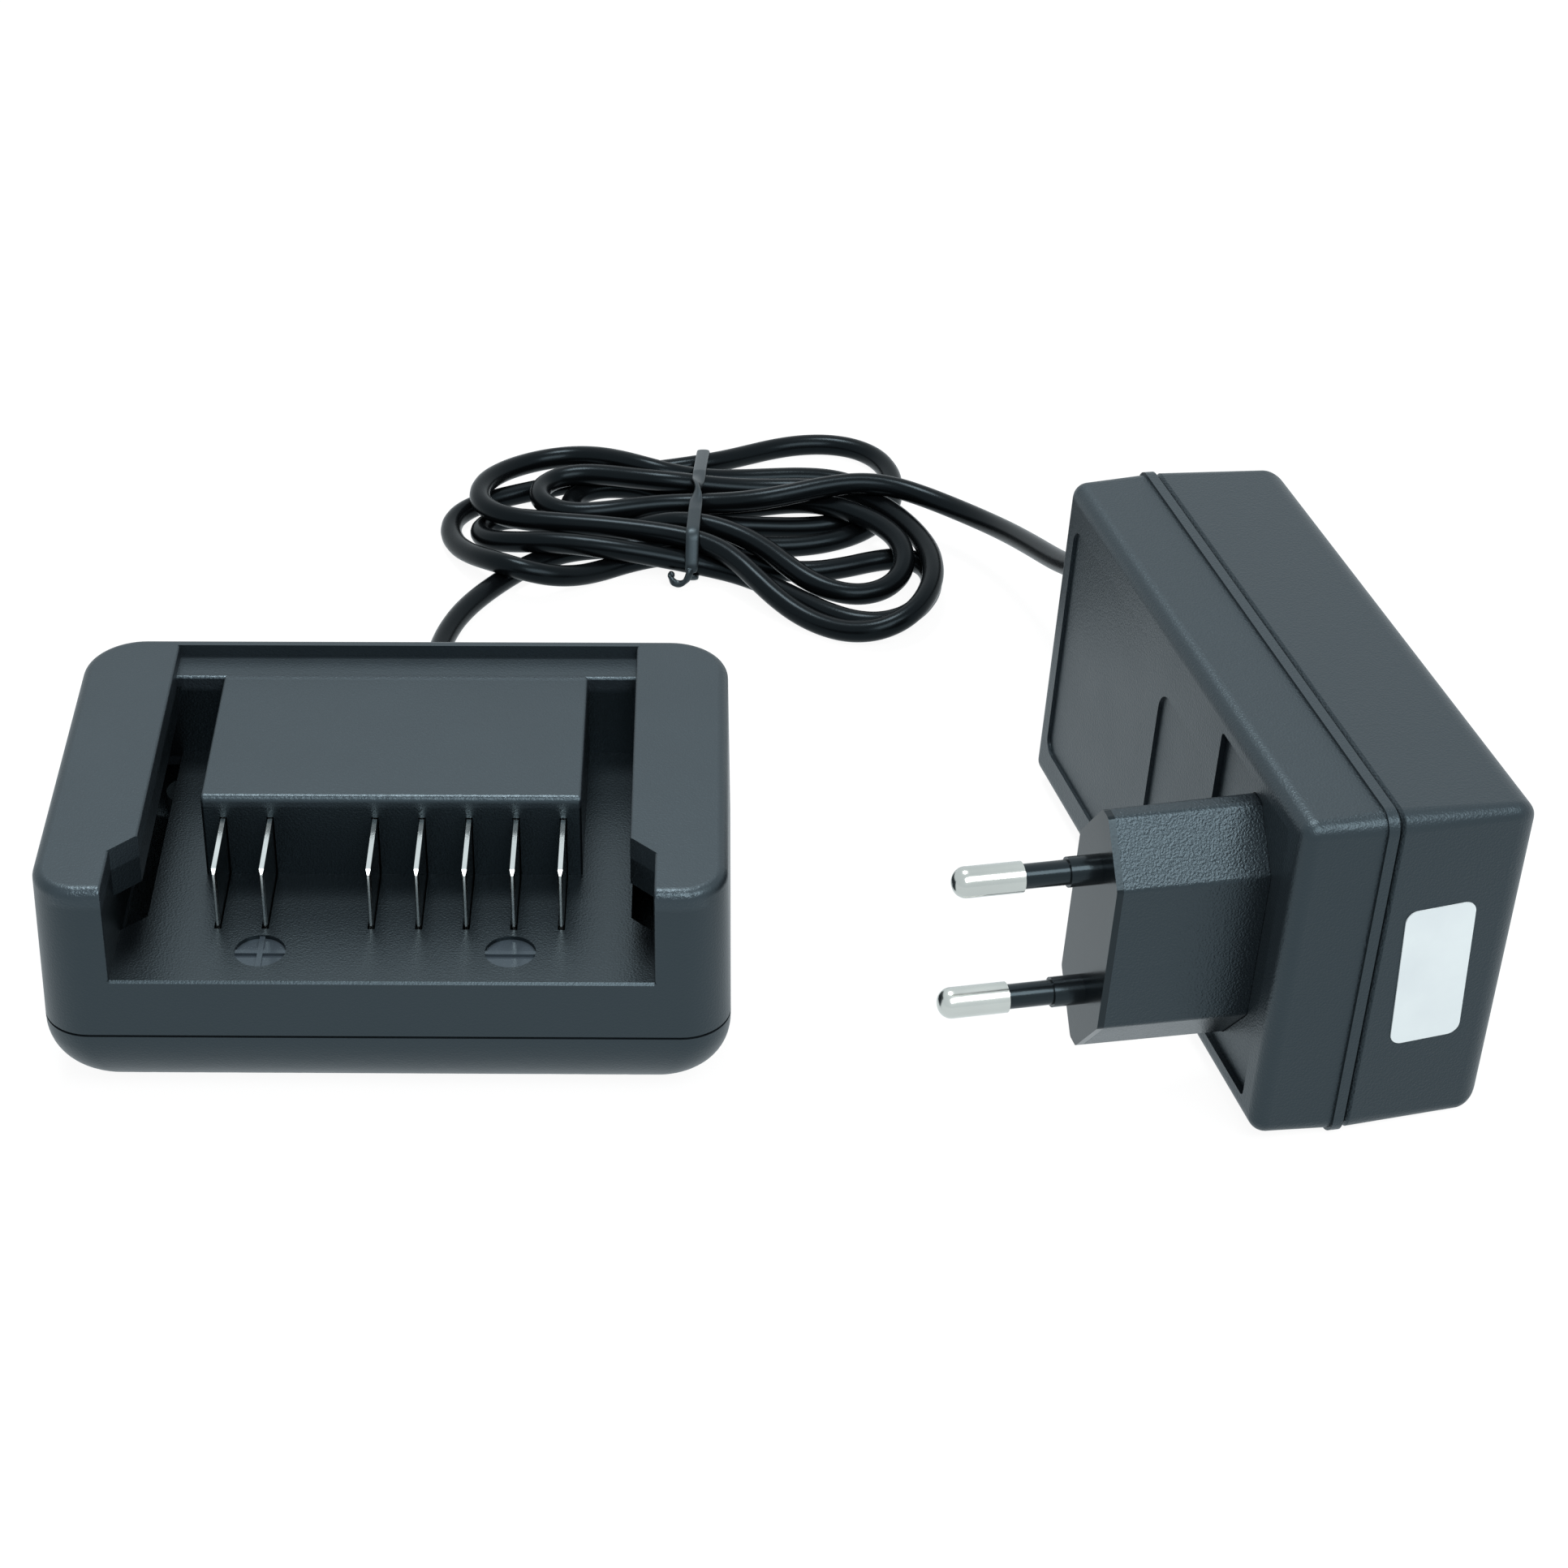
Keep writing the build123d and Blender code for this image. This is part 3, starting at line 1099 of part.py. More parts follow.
def board_components():
    """Components of the adapter's board, in four rows from the output to the mains end."""
    output_x, power_x, bulk_x, mains_x = in_row(
        OUTPUT_ROOM - MAIN_BOARD_LENGTH / 2,
        MAIN_BOARD_LENGTH / 2 - CHOKE_ROOM,
        [chip_reach(OPTOCOUPLER), CORE_LENGTH, BULK_CAP[0], CHOKE[2]],
    )
    opto_y, cap_y, next_cap_y, control_y = in_row(
        -ROW_REACH, ROW_REACH, [OPTOCOUPLER[0], OUTPUT_CAP[0], OUTPUT_CAP[0], CONTROL_CHIP[0]]
    )
    bridge_y, bulk_y, boxed_y = in_row(
        -ROW_REACH, ROW_REACH, [chip_reach(BRIDGE_RECTIFIER), BULK_CAP[0], BOXED_CAP[1]]
    )
    choke_y, fuse_y = in_row(-ROW_REACH, ROW_REACH, [CHOKE[0], axial_reach(MAINS_FUSE)])
    turn = Rot(0, 0, 90)
    about = Rot(0, 0, 180)
    output_caps = [
        on_board(output_x, y, canned_capacitor(*OUTPUT_CAP)).solid() for y in (cap_y, next_cap_y)
    ]
    return {
        "transformer_core": on_board(power_x, 0, transformer_core()),
        "transformer_winding": on_board(power_x, 0, transformer_winding()),
        "transformer_bobbin": on_board(power_x, 0, transformer_bobbin()),
        "primary_heatsink": on_board(power_x, -HEATSINK_Y, about * heatsink()),
        "power_switch": on_board(power_x, -HEATSINK_Y, about * power_package()),
        "output_heatsink": on_board(power_x, HEATSINK_Y, heatsink()),
        "output_rectifier": on_board(power_x, HEATSINK_Y, power_package()),
        "output_capacitors": Compound(children=output_caps),
        "optocoupler": on_board(output_x, opto_y, turn * chip(*OPTOCOUPLER)),
        "control_chip": on_board(output_x, control_y, turn * chip(*CONTROL_CHIP)),
        "bulk_capacitor": on_board(bulk_x, bulk_y, canned_capacitor(*BULK_CAP)),
        "bridge_rectifier": on_board(bulk_x, bridge_y, chip(*BRIDGE_RECTIFIER)),
        "suppression_capacitor": on_board(bulk_x, boxed_y, suppression_capacitor()),
        "mains_choke": on_board(mains_x, choke_y, Pos(0, 0, CHOKE[0] / 2) * turn * ring_choke()),
        "mains_fuse": on_board(mains_x, fuse_y, turn * axial_part(*MAINS_FUSE)),
    }


def adapter_nodes():
    nodes = {
        "adapter_front_shell": adapter_front_shell(),
        "adapter_rear_shell": adapter_rear_shell(),
        "plug_tower": plug_tower(),
        "pin_carrier": pin_carrier(),
        "mains_leads": mains_leads(),
        "adapter_sticker": adapter_sticker(),
        "main_board": main_board(),
        "adapter_strain_relief": adapter_strain_relief(),
        "output_leads": output_leads(),
    }
    nodes.update(board_components())
    for name, (x, y) in zip(("upper", "lower"), pin_places()):
        nodes[f"plug_pin_{name}"] = plug_pin(x, y)
        nodes[f"pin_sleeve_{name}"] = pin_sleeve(x, y)
    return {name: on_adapter(shape) for name, shape in nodes.items()}


def cord_nodes():
    hank = cord_hank()
    return {
        "cord_hank": hank,
        "twist_tie": twist_tie(),
        "cord_cradle_end": cradle_cord(hank),
        "cord_adapter_end": adapter_cord(hank),
    }


def main():
    os.makedirs("parts", exist_ok=True)
    print("adapter tilt", round(ADAPTER_TILT, 3), "lift", round(ADAPTER_LIFT, 3))
    for nodes in (cradle_nodes(), adapter_nodes(), cord_nodes()):
        for name, shape in nodes.items():
            export_step(shape, f"parts/{name}.step")


main()
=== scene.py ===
import math

import bmesh
import bpy
import numpy as np
from bpy.props import FloatProperty, FloatVectorProperty, PointerProperty
from mathutils import Matrix, Vector


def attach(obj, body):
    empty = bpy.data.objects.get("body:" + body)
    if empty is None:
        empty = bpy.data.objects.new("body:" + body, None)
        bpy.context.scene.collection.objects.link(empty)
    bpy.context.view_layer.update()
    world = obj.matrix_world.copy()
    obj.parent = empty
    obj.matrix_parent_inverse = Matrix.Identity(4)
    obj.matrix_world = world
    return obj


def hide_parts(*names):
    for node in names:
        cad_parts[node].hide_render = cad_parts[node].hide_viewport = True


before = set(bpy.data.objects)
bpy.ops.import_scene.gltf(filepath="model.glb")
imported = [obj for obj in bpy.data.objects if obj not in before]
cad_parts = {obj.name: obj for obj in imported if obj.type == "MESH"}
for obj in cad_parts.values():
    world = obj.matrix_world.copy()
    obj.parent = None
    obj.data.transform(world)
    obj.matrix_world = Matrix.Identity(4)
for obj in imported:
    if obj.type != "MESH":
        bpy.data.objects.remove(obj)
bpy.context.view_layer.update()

bl_info = {
    "name": "Battery charger looks",
    "version": (1, 0, 0),
    "blender": (4, 5, 0),
    "location": "View3D > Sidebar > Charger",
    "description": "Finishes a slide-pack battery charger: cradle, plug-in adapter, tied cord and studio",
    "category": "Object",
}

BODY = "root"

# The cord's route in metres, from the cradle's strain relief through the hank to the adapter's. A run laid
# by hand was settled outside this file until its turns rested on the floor and on each other.
CORD_ROUTE = (
    (0.00000, 0.04300, 0.01140), (0.00003, 0.04759, 0.01171), (-0.00004, 0.05242, 0.01060),
    (-0.00019, 0.05719, 0.00867), (-0.00039, 0.06171, 0.00641), (-0.00056, 0.06598, 0.00426),
    (-0.00061, 0.07010, 0.00264), (-0.00045, 0.07423, 0.00182), (-0.00001, 0.07844, 0.00168),
    (0.00080, 0.08270, 0.00169), (0.00211, 0.08692, 0.00170), (0.00397, 0.09098, 0.00170),
    (0.00633, 0.09486, 0.00169), (0.00900, 0.09858, 0.00168), (0.01192, 0.10203, 0.00168),
    (0.01521, 0.10490, 0.00168), (0.01901, 0.10687, 0.00170), (0.02331, 0.10781, 0.00169),
    (0.02790, 0.10801, 0.00175), (0.03253, 0.10801, 0.00206), (0.03709, 0.10817, 0.00256),
    (0.04159, 0.10832, 0.00259), (0.04611, 0.10833, 0.00215), (0.05069, 0.10831, 0.00177),
    (0.05530, 0.10863, 0.00168), (0.05976, 0.10976, 0.00170), (0.06380, 0.11192, 0.00170),
    (0.06713, 0.11506, 0.00168), (0.06950, 0.11903, 0.00169), (0.07076, 0.12364, 0.00170),
    (0.07106, 0.12855, 0.00170), (0.07035, 0.13335, 0.00169), (0.06837, 0.13749, 0.00169),
    (0.06507, 0.14037, 0.00170), (0.06081, 0.14169, 0.00170), (0.05619, 0.14152, 0.00169),
    (0.05174, 0.14013, 0.00172), (0.04771, 0.13790, 0.00190), (0.04403, 0.13539, 0.00231),
    (0.04035, 0.13337, 0.00265), (0.03637, 0.13233, 0.00252), (0.03204, 0.13199, 0.00205),
    (0.02753, 0.13155, 0.00174), (0.02307, 0.13050, 0.00168), (0.01872, 0.12883, 0.00169),
    (0.01438, 0.12693, 0.00170), (0.00994, 0.12507, 0.00169), (0.00559, 0.12301, 0.00168),
    (0.00193, 0.12032, 0.00169), (-0.00027, 0.11679, 0.00168), (-0.00062, 0.11263, 0.00169),
    (0.00063, 0.10830, 0.00207), (0.00283, 0.10410, 0.00305), (0.00560, 0.10024, 0.00436),
    (0.00888, 0.09718, 0.00517), (0.01264, 0.09563, 0.00482), (0.01657, 0.09606, 0.00369),
    (0.02034, 0.09815, 0.00244), (0.02394, 0.10088, 0.00169), (0.02767, 0.10316, 0.00174),
    (0.03178, 0.10441, 0.00211), (0.03621, 0.10477, 0.00257), (0.04069, 0.10448, 0.00262),
    (0.04504, 0.10347, 0.00218), (0.04930, 0.10205, 0.00179), (0.05359, 0.10090, 0.00169),
    (0.05799, 0.10084, 0.00169), (0.06247, 0.10213, 0.00170), (0.06692, 0.10406, 0.00169),
    (0.07103, 0.10511, 0.00168), (0.07426, 0.10397, 0.00169), (0.07598, 0.10055, 0.00170),
    (0.07590, 0.09586, 0.00170), (0.07424, 0.09112, 0.00169), (0.07137, 0.08743, 0.00170),
    (0.06770, 0.08561, 0.00170), (0.06373, 0.08599, 0.00169), (0.05987, 0.08818, 0.00170),
    (0.05627, 0.09132, 0.00169), (0.05278, 0.09463, 0.00169), (0.04912, 0.09755, 0.00180),
    (0.04517, 0.09972, 0.00212), (0.04098, 0.10090, 0.00255), (0.03668, 0.10128, 0.00332),
    (0.03230, 0.10133, 0.00425), (0.02786, 0.10153, 0.00501), (0.02338, 0.10209, 0.00542),
    (0.01889, 0.10290, 0.00552), (0.01432, 0.10397, 0.00517), (0.00978, 0.10555, 0.00417),
    (0.00591, 0.10809, 0.00294), (0.00404, 0.11182, 0.00205), (0.00501, 0.11533, 0.00169),
    (0.00848, 0.11725, 0.00168), (0.01308, 0.11676, 0.00169), (0.01781, 0.11503, 0.00168),
    (0.02225, 0.11314, 0.00172), (0.02650, 0.11176, 0.00243), (0.03061, 0.11077, 0.00401),
    (0.03477, 0.10966, 0.00553), (0.03906, 0.10833, 0.00616), (0.04329, 0.10671, 0.00597),
    (0.04710, 0.10443, 0.00557), (0.05034, 0.10137, 0.00518), (0.05327, 0.09790, 0.00460),
    (0.05644, 0.09468, 0.00391), (0.06022, 0.09243, 0.00326), (0.06443, 0.09181, 0.00291),
    (0.06831, 0.09316, 0.00307), (0.07097, 0.09622, 0.00368), (0.07189, 0.10031, 0.00447),
    (0.07109, 0.10459, 0.00507), (0.06891, 0.10851, 0.00528), (0.06578, 0.11186, 0.00532),
    (0.06210, 0.11477, 0.00520), (0.05814, 0.11732, 0.00457), (0.05404, 0.11915, 0.00356),
    (0.04982, 0.11969, 0.00273), (0.04560, 0.11902, 0.00244), (0.04169, 0.11830, 0.00256),
    (0.03827, 0.11904, 0.00263), (0.03513, 0.12159, 0.00234), (0.03170, 0.12480, 0.00197),
    (0.02755, 0.12699, 0.00174), (0.02303, 0.12710, 0.00168), (0.01937, 0.12484, 0.00168),
    (0.01817, 0.12125, 0.00170), (0.01999, 0.11795, 0.00169), (0.02403, 0.11604, 0.00169),
    (0.02879, 0.11483, 0.00178), (0.03340, 0.11387, 0.00215), (0.03772, 0.11336, 0.00262),
    (0.04195, 0.11350, 0.00257), (0.04626, 0.11403, 0.00214), (0.05077, 0.11438, 0.00179),
    (0.05548, 0.11446, 0.00168), (0.06015, 0.11505, 0.00168), (0.06416, 0.11716, 0.00168),
    (0.06661, 0.12077, 0.00168), (0.06679, 0.12467, 0.00173), (0.06454, 0.12742, 0.00213),
    (0.06053, 0.12847, 0.00266), (0.05576, 0.12839, 0.00298), (0.05092, 0.12803, 0.00299),
    (0.04629, 0.12759, 0.00301), (0.04197, 0.12683, 0.00345), (0.03797, 0.12589, 0.00439),
    (0.03420, 0.12561, 0.00538), (0.03048, 0.12676, 0.00587), (0.02667, 0.12911, 0.00566),
    (0.02266, 0.13152, 0.00504), (0.01844, 0.13276, 0.00442), (0.01413, 0.13221, 0.00414),
    (0.01005, 0.12998, 0.00429), (0.00662, 0.12653, 0.00471), (0.00436, 0.12239, 0.00511),
    (0.00378, 0.11806, 0.00527), (0.00509, 0.11411, 0.00544), (0.00805, 0.11102, 0.00576),
    (0.01210, 0.10898, 0.00613), (0.01664, 0.10775, 0.00641), (0.02129, 0.10690, 0.00656),
    (0.02595, 0.10612, 0.00656), (0.03058, 0.10533, 0.00643), (0.03512, 0.10442, 0.00622),
    (0.03932, 0.10297, 0.00606), (0.04293, 0.10060, 0.00584), (0.04594, 0.09742, 0.00523),
    (0.04866, 0.09400, 0.00425), (0.05151, 0.09077, 0.00310), (0.05473, 0.08777, 0.00211),
    (0.05840, 0.08497, 0.00168), (0.06242, 0.08275, 0.00187), (0.06652, 0.08190, 0.00260),
    (0.07026, 0.08299, 0.00352), (0.07321, 0.08589, 0.00432), (0.07513, 0.08990, 0.00489),
    (0.07601, 0.09438, 0.00517), (0.07597, 0.09896, 0.00523), (0.07514, 0.10351, 0.00511),
    (0.07359, 0.10797, 0.00492), (0.07138, 0.11224, 0.00488), (0.06853, 0.11611, 0.00501),
    (0.06504, 0.11927, 0.00503), (0.06097, 0.12143, 0.00466), (0.05649, 0.12259, 0.00420),
    (0.05185, 0.12293, 0.00394), (0.04721, 0.12271, 0.00407), (0.04263, 0.12221, 0.00465),
    (0.03812, 0.12185, 0.00544), (0.03368, 0.12208, 0.00586), (0.02926, 0.12318, 0.00572),
    (0.02478, 0.12478, 0.00539), (0.02029, 0.12576, 0.00508), (0.01631, 0.12494, 0.00483),
    (0.01378, 0.12206, 0.00481), (0.01348, 0.11808, 0.00500), (0.01551, 0.11458, 0.00514),
    (0.01925, 0.11276, 0.00526), (0.02381, 0.11281, 0.00548), (0.02854, 0.11398, 0.00553),
    (0.03311, 0.11524, 0.00537), (0.03745, 0.11572, 0.00531), (0.04165, 0.11525, 0.00567),
    (0.04583, 0.11448, 0.00639), (0.05014, 0.11428, 0.00715), (0.05455, 0.11491, 0.00777),
    (0.05888, 0.11594, 0.00826), (0.06302, 0.11676, 0.00852), (0.06702, 0.11691, 0.00851),
    (0.07100, 0.11616, 0.00816), (0.07493, 0.11444, 0.00770), (0.07859, 0.11192, 0.00750),
    (0.08172, 0.10882, 0.00774), (0.08426, 0.10531, 0.00842), (0.08631, 0.10152, 0.00943),
    (0.08800, 0.09753, 0.01065), (0.08946, 0.09339, 0.01199), (0.09081, 0.08913, 0.01340),
    (0.09208, 0.08477, 0.01487), (0.09334, 0.08029, 0.01645), (0.09461, 0.07575, 0.01826),
    (0.09597, 0.07121, 0.02038), (0.09740, 0.06671, 0.02263), (0.09879, 0.06226, 0.02438),
    (0.09993, 0.05780, 0.02457),
)

# Camera of the pinhole model: metres, and pixels of a 1932 x 1932 frame.
FRAME_PIXELS = 1932
FOCAL_PIXELS = 4579.59
PRINCIPAL = (806.53, 954.84)
CAMERA_PLACE = (0.04192, -0.40156, 0.30664)
CAMERA_CLIP = (0.01, 20.0)
PITCH, ROLL, YAW = math.radians(34.39), math.radians(-0.42), math.radians(-1.11)
SENSOR = 36.0                 # millimetres

# Stage in metres and watts. Each glow is for the rays that light the object, then for those that show white.
LAMPS = (                     # name, place, aim, size, power
    ("overhead softbox", (-0.05, 0.3, 0.85), (0.04, 0.06, 0.0), (0.24, 0.24), 5.0),
    ("front softbox", (0.3, -0.55, 0.75), (0.04, 0.0, 0.02), (0.8, 0.45), 8.0),
)
WHITE, COOL_WHITE = (1.0, 1.0, 1.0), (0.88, 0.96, 1.0)
FLOOR_REACH = 3.0
FLOOR_SHADE = (0.1, 0.1, 0.1, 1.0)
FLOOR_GLOW = (0.4, 0.93)
WORLD_GLOW = (0.3, 1.0)

# Finishes. An area's finish is its roughness, and its shade as a share of the plastic's colour.
HOUSING_ROUGHNESS, HOUSING_SPECULAR = 0.4, 0.62
ROUGH_DRIFT = 0.04            # roughness drifts this far up and down
SHADE_DRIFT = (0.86, 1.12)    # and the shade between these shares
INNER_DRIFT = 0.05            # drift of roughness on the parts inside
FLAT_HEIGHT = 0.5             # middle height of the grain
# The bay: smoother, with a painted shade at 0.3 of the plastic's colour.
PAINTED_BAY_SHADE = (0.3, 0.3)
# Edges: smoother, with a lighter shade at 2.0 times the plastic's colour that is a painted highlight.
PAINTED_EDGE_HIGHLIGHT = (0.3, 2.0)
# Marks: polished and without grain, with a lighter shade at 4.5 times the plastic's colour that is a painted
# reflection.
POLISH_AND_PAINTED_REFLECTION = (0.16, 4.5)
# Hollows inside the housing: rough, with a painted shade at 0.2 of the plastic's colour, nearly black.
PAINTED_HOLLOW_SHADE = (0.9, 0.2)
WORN_PIT_SCALE = 0.8          # pits of the edges with a painted highlight, against those of the grain
WORN_PIT_DEPTH = 3.0


def both_sides(low, high):
    """Box on the right side, and its mirror image on the left."""
    return (low, high), ((-high[0], *low[1:]), (-low[0], *high[1:]))


# Places of the finishes on the cradle, in metres. A box is its low and its high corner.
# Centres of the two polished marks, which also get a painted reflection.
MARK_X, MARK_Y = (-0.016, 0.016), -0.0232
# Edges that get deeper pits and a painted highlight.
PITTED_HIGHLIT_EDGES = (
    ((-0.0255, -0.0068, 0.0316), (0.0255, -0.0054, 0.0328)),               # front edge of the contact block
    ((-0.0310, 0.0216, 0.0300), (0.0310, 0.0230, 0.0350)),                 # front edge of the ledge
    *both_sides((0.0340, -0.0306, 0.0312), (0.0450, -0.0283, 0.0349)),     # front edges of the side wings
    ((-0.0345, -0.0302, 0.0197), (0.0345, -0.0296, 0.0206)),               # sill of the bay
)
# Hollows that get a painted shade.
HOLLOWS = (
    ((-0.0405, -0.0265, 0.0020), (0.0405, 0.0265, 0.0181)),                # room under the bay's floor
    *both_sides((0.0347, -0.0265, 0.0170), (0.0405, 0.0265, 0.0315)),      # room inside the side wings
    *both_sides((0.0311, 0.0100, 0.0170), (0.0348, 0.0216, 0.0201)),       # rear ends of the rail slots
)
# Box of the bay, which gets a painted shade.
BAY = ((-0.0348, -0.0298, 0.0192), (0.0348, 0.0230, 0.0310))
BLADE_X = (0.02235, 0.01622, 0.01009, 0.00396, -0.00217, -0.01582, -0.02195)
BLADE_CORE = 0.0003           # half of a blade's thickness less the skin that gets the painted dark reflection
BLADE_ROOM = 0.05             # far enough to reach past a blade

# The tie, in metres.
TIE_X = 0.0390                # where it crosses the hank
TIE_LEAN = 0.048              # how far it leans along x for each unit of y
TIE_FRONT = 0.095             # the cord in front of this runs outside the tie
TIE_GAP = 0.0001              # between the cord and the tie
FLOOR_GAP = 0.00005           # between the floor and the tie
TIE_START = 0.4               # slope that puts the band's ends low on its front
TIE_TOP = 0.004               # the band's upper run is above this
TIE_UNDER = -0.5              # where it faces down by more than this, it is the lower run
TIE_TURN = (0.1100, 0.1210)   # stretch of y on which the upper run turns over
TURN_LIFT, TURN_PINCH = 0.8, 0.25          # how far the turn rises and narrows, as shares
TIE_HOOK = (
    (0.03805, 0.0990, 0.0036), (0.03790, 0.0984, 0.0026), (0.03735, 0.0981, 0.0016),
    (0.03640, 0.0980, 0.0011), (0.03545, 0.0984, 0.0012), (0.03505, 0.0990, 0.0019),
    (0.03540, 0.0991, 0.0026),
)
HOOK_WIDTH, HOOK_THICKNESS = 0.55, 1.1     # shares of the band's
TIE_PLACES, HOOK_PLACES = 260, 60          # sections along each strip
HULL_DIRECTIONS = 2881
SHOULDER = 0.75               # power that squares a strip's section
END_PLACES = 4                # sections over which an end shrinks
POLE_REACH = 0.000005         # points closer than this are merged


# ---------------------------------------------------------------- settings

def length_setting(name, description, default):
    """Size in metres that a user may change."""
    return FloatProperty(name=name, description=description, default=default, unit="LENGTH", precision=5)


def colour_setting(name, description, default):
    """Colour that a user may change."""
    return FloatVectorProperty(
        name=name, description=description, default=default, size=3, min=0.0, max=1.0, subtype="COLOR"
    )


class ChargerSizes(bpy.types.PropertyGroup):
    """Sizes of the pieces that the scene makes itself, and of its surface patterns."""
    cord_diameter: length_setting("Cord diameter", "Outside diameter of the cord's jacket", 0.0034)
    tie_width: length_setting("Tie width", "Width of the flat wire tie round the hank", 0.0021)
    tie_thickness: length_setting("Tie thickness", "Thickness of the tie over its wire", 0.0008)
    grain_size: length_setting("Grain size", "Width of one pit of the moulded grain", 0.0003)
    mark_radius: length_setting("Mark radius", "Radius of the two polished marks in the bay floor", 0.00325)


class ChargerColours(bpy.types.PropertyGroup):
    """Colours of the finishes."""
    cradle: colour_setting("Cradle", "Black moulded housing of the cradle", (0.0065, 0.0085, 0.0105))
    adapter: colour_setting("Adapter", "Black moulded housing of the adapter", (0.0065, 0.0085, 0.0105))
    jacket: colour_setting("Cord jacket", "Soft black vinyl of the cord", (0.0022, 0.0027, 0.0032))
    tie: colour_setting("Tie", "Black plastic ribbon of the wire tie", (0.012, 0.015, 0.017))
    gloss: colour_setting("Gloss tint", "Cool tint of the plastics' gloss", (0.66, 0.88, 1.0))
    sticker: colour_setting("Sticker", "Blank white film of the sticker", (0.82, 0.89, 0.93))


# ---------------------------------------------------------------- materials

def new_material(name, colour, roughness, metallic=0.0, specular=0.5, tint=WHITE):
    """Principled material with its constants on its own sockets. Returns it and its shader node."""
    material = bpy.data.materials.new(name)
    material.use_nodes = True
    shader = material.node_tree.nodes["Principled BSDF"]
    shader.inputs["Base Color"].default_value = (*colour, 1.0)
    shader.inputs["Roughness"].default_value = roughness
    shader.inputs["Metallic"].default_value = metallic
    shader.inputs["Specular IOR Level"].default_value = specular
    shader.inputs["Specular Tint"].default_value = (*tint, 1.0)
    return material, shader


def new_group(name, inputs, outputs):
    """Empty node group with the given sockets, and its input and output nodes."""
    group = bpy.data.node_groups.new(name, "ShaderNodeTree")
    for label, kind, default in inputs:
        socket = group.interface.new_socket(label, in_out="INPUT", socket_type=kind)
        socket.default_value = default
    for label in outputs:
        group.interface.new_socket(label, in_out="OUTPUT", socket_type="NodeSocketFloat")
    return group, group.nodes.new("NodeGroupInput"), group.nodes.new("NodeGroupOutput")


def math_node(tree, operation, first, second, kind="ShaderNodeMath"):
    """Node that joins two values, each a socket or a plain value. Returns its first output."""
    node = tree.nodes.new(kind)
    node.operation = operation
    for socket, value in zip(node.inputs, (first, second)):
        if isinstance(value, bpy.types.NodeSocket):
            tree.links.new(value, socket)
        else:
            socket.default_value = value
    return node.outputs[0]


def grain_group():
    """Node group of the moulded grain: pits of two sizes as a height, and a tone that drifts slowly."""
    group = bpy.data.node_groups.get("moulded grain")
    if group:
        return group
    group, start, end = new_group(
        "moulded grain",
        (("Scale", "NodeSocketFloat", 3000.0), ("Coarse", "NodeSocketFloat", 0.5)),
        ("Height", "Tone"),
    )
    link = group.links.new
    place = group.nodes.new("ShaderNodeTexCoord").outputs["Object"]
    noise = group.nodes.new("ShaderNodeTexNoise")
    noise.inputs["Detail"].default_value = 2.0
    cells = group.nodes.new("ShaderNodeTexVoronoi")
    for texture in (noise, cells):
        link(place, texture.inputs["Vector"])
        link(start.outputs["Scale"], texture.inputs["Scale"])
    mix = group.nodes.new("ShaderNodeMix")
    link(start.outputs["Coarse"], mix.inputs["Factor"])
    link(noise.outputs["Fac"], mix.inputs["A"])
    link(cells.outputs["Distance"], mix.inputs["B"])
    tone = group.nodes.new("ShaderNodeTexNoise")
    tone.inputs["Scale"].default_value = 90.0
    tone.inputs["Detail"].default_value = 4.0
    link(place, tone.inputs["Vector"])
    link(mix.outputs["Result"], end.inputs["Height"])
    link(tone.outputs["Fac"], end.inputs["Tone"])
    return group


def box_group():
    """Node group: 1 inside a box in object space, 0 outside, with an edge of the given softness."""
    group = bpy.data.node_groups.get("box mask")
    if group:
        return group
    group, start, end = new_group(
        "box mask",
        (("Low", "NodeSocketVector", (0, 0, 0)), ("High", "NodeSocketVector", (0, 0, 0)),
         ("Softness", "NodeSocketFloat", 0.0003)),
        ("Mask",),
    )
    place = group.nodes.new("ShaderNodeTexCoord").outputs["Object"]
    over = math_node(group, "SUBTRACT", place, start.outputs["Low"], "ShaderNodeVectorMath")
    under = math_node(group, "SUBTRACT", start.outputs["High"], place, "ShaderNodeVectorMath")
    nearest = math_node(group, "MINIMUM", over, under, "ShaderNodeVectorMath")
    parts = group.nodes.new("ShaderNodeSeparateXYZ")
    group.links.new(nearest, parts.inputs["Vector"])
    least = math_node(group, "MINIMUM", parts.outputs["X"], parts.outputs["Y"])
    least = math_node(group, "MINIMUM", least, parts.outputs["Z"])
    edge = group.nodes.new("ShaderNodeMapRange")
    group.links.new(least, edge.inputs["Value"])
    group.links.new(start.outputs["Softness"], edge.inputs["From Max"])
    group.links.new(edge.outputs["Result"], end.inputs["Mask"])
    return group


def disc_group():
    """Node group: 1 inside an upright cylinder in object space, 0 outside."""
    group = bpy.data.node_groups.get("disc mask")
    if group:
        return group
    group, start, end = new_group(
        "disc mask",
        (("Centre", "NodeSocketVector", (0, 0, 0)), ("Radius", "NodeSocketFloat", 0.003)),
        ("Mask",),
    )
    place = group.nodes.new("ShaderNodeTexCoord").outputs["Object"]
    away = math_node(group, "SUBTRACT", place, start.outputs["Centre"], "ShaderNodeVectorMath")
    flat = math_node(group, "MULTIPLY", away, (1, 1, 0), "ShaderNodeVectorMath")
    size = group.nodes.new("ShaderNodeVectorMath")
    size.operation = "LENGTH"
    group.links.new(flat, size.inputs[0])
    inside = math_node(group, "LESS_THAN", size.outputs["Value"], start.outputs["Radius"])
    group.links.new(inside, end.inputs["Mask"])
    return group


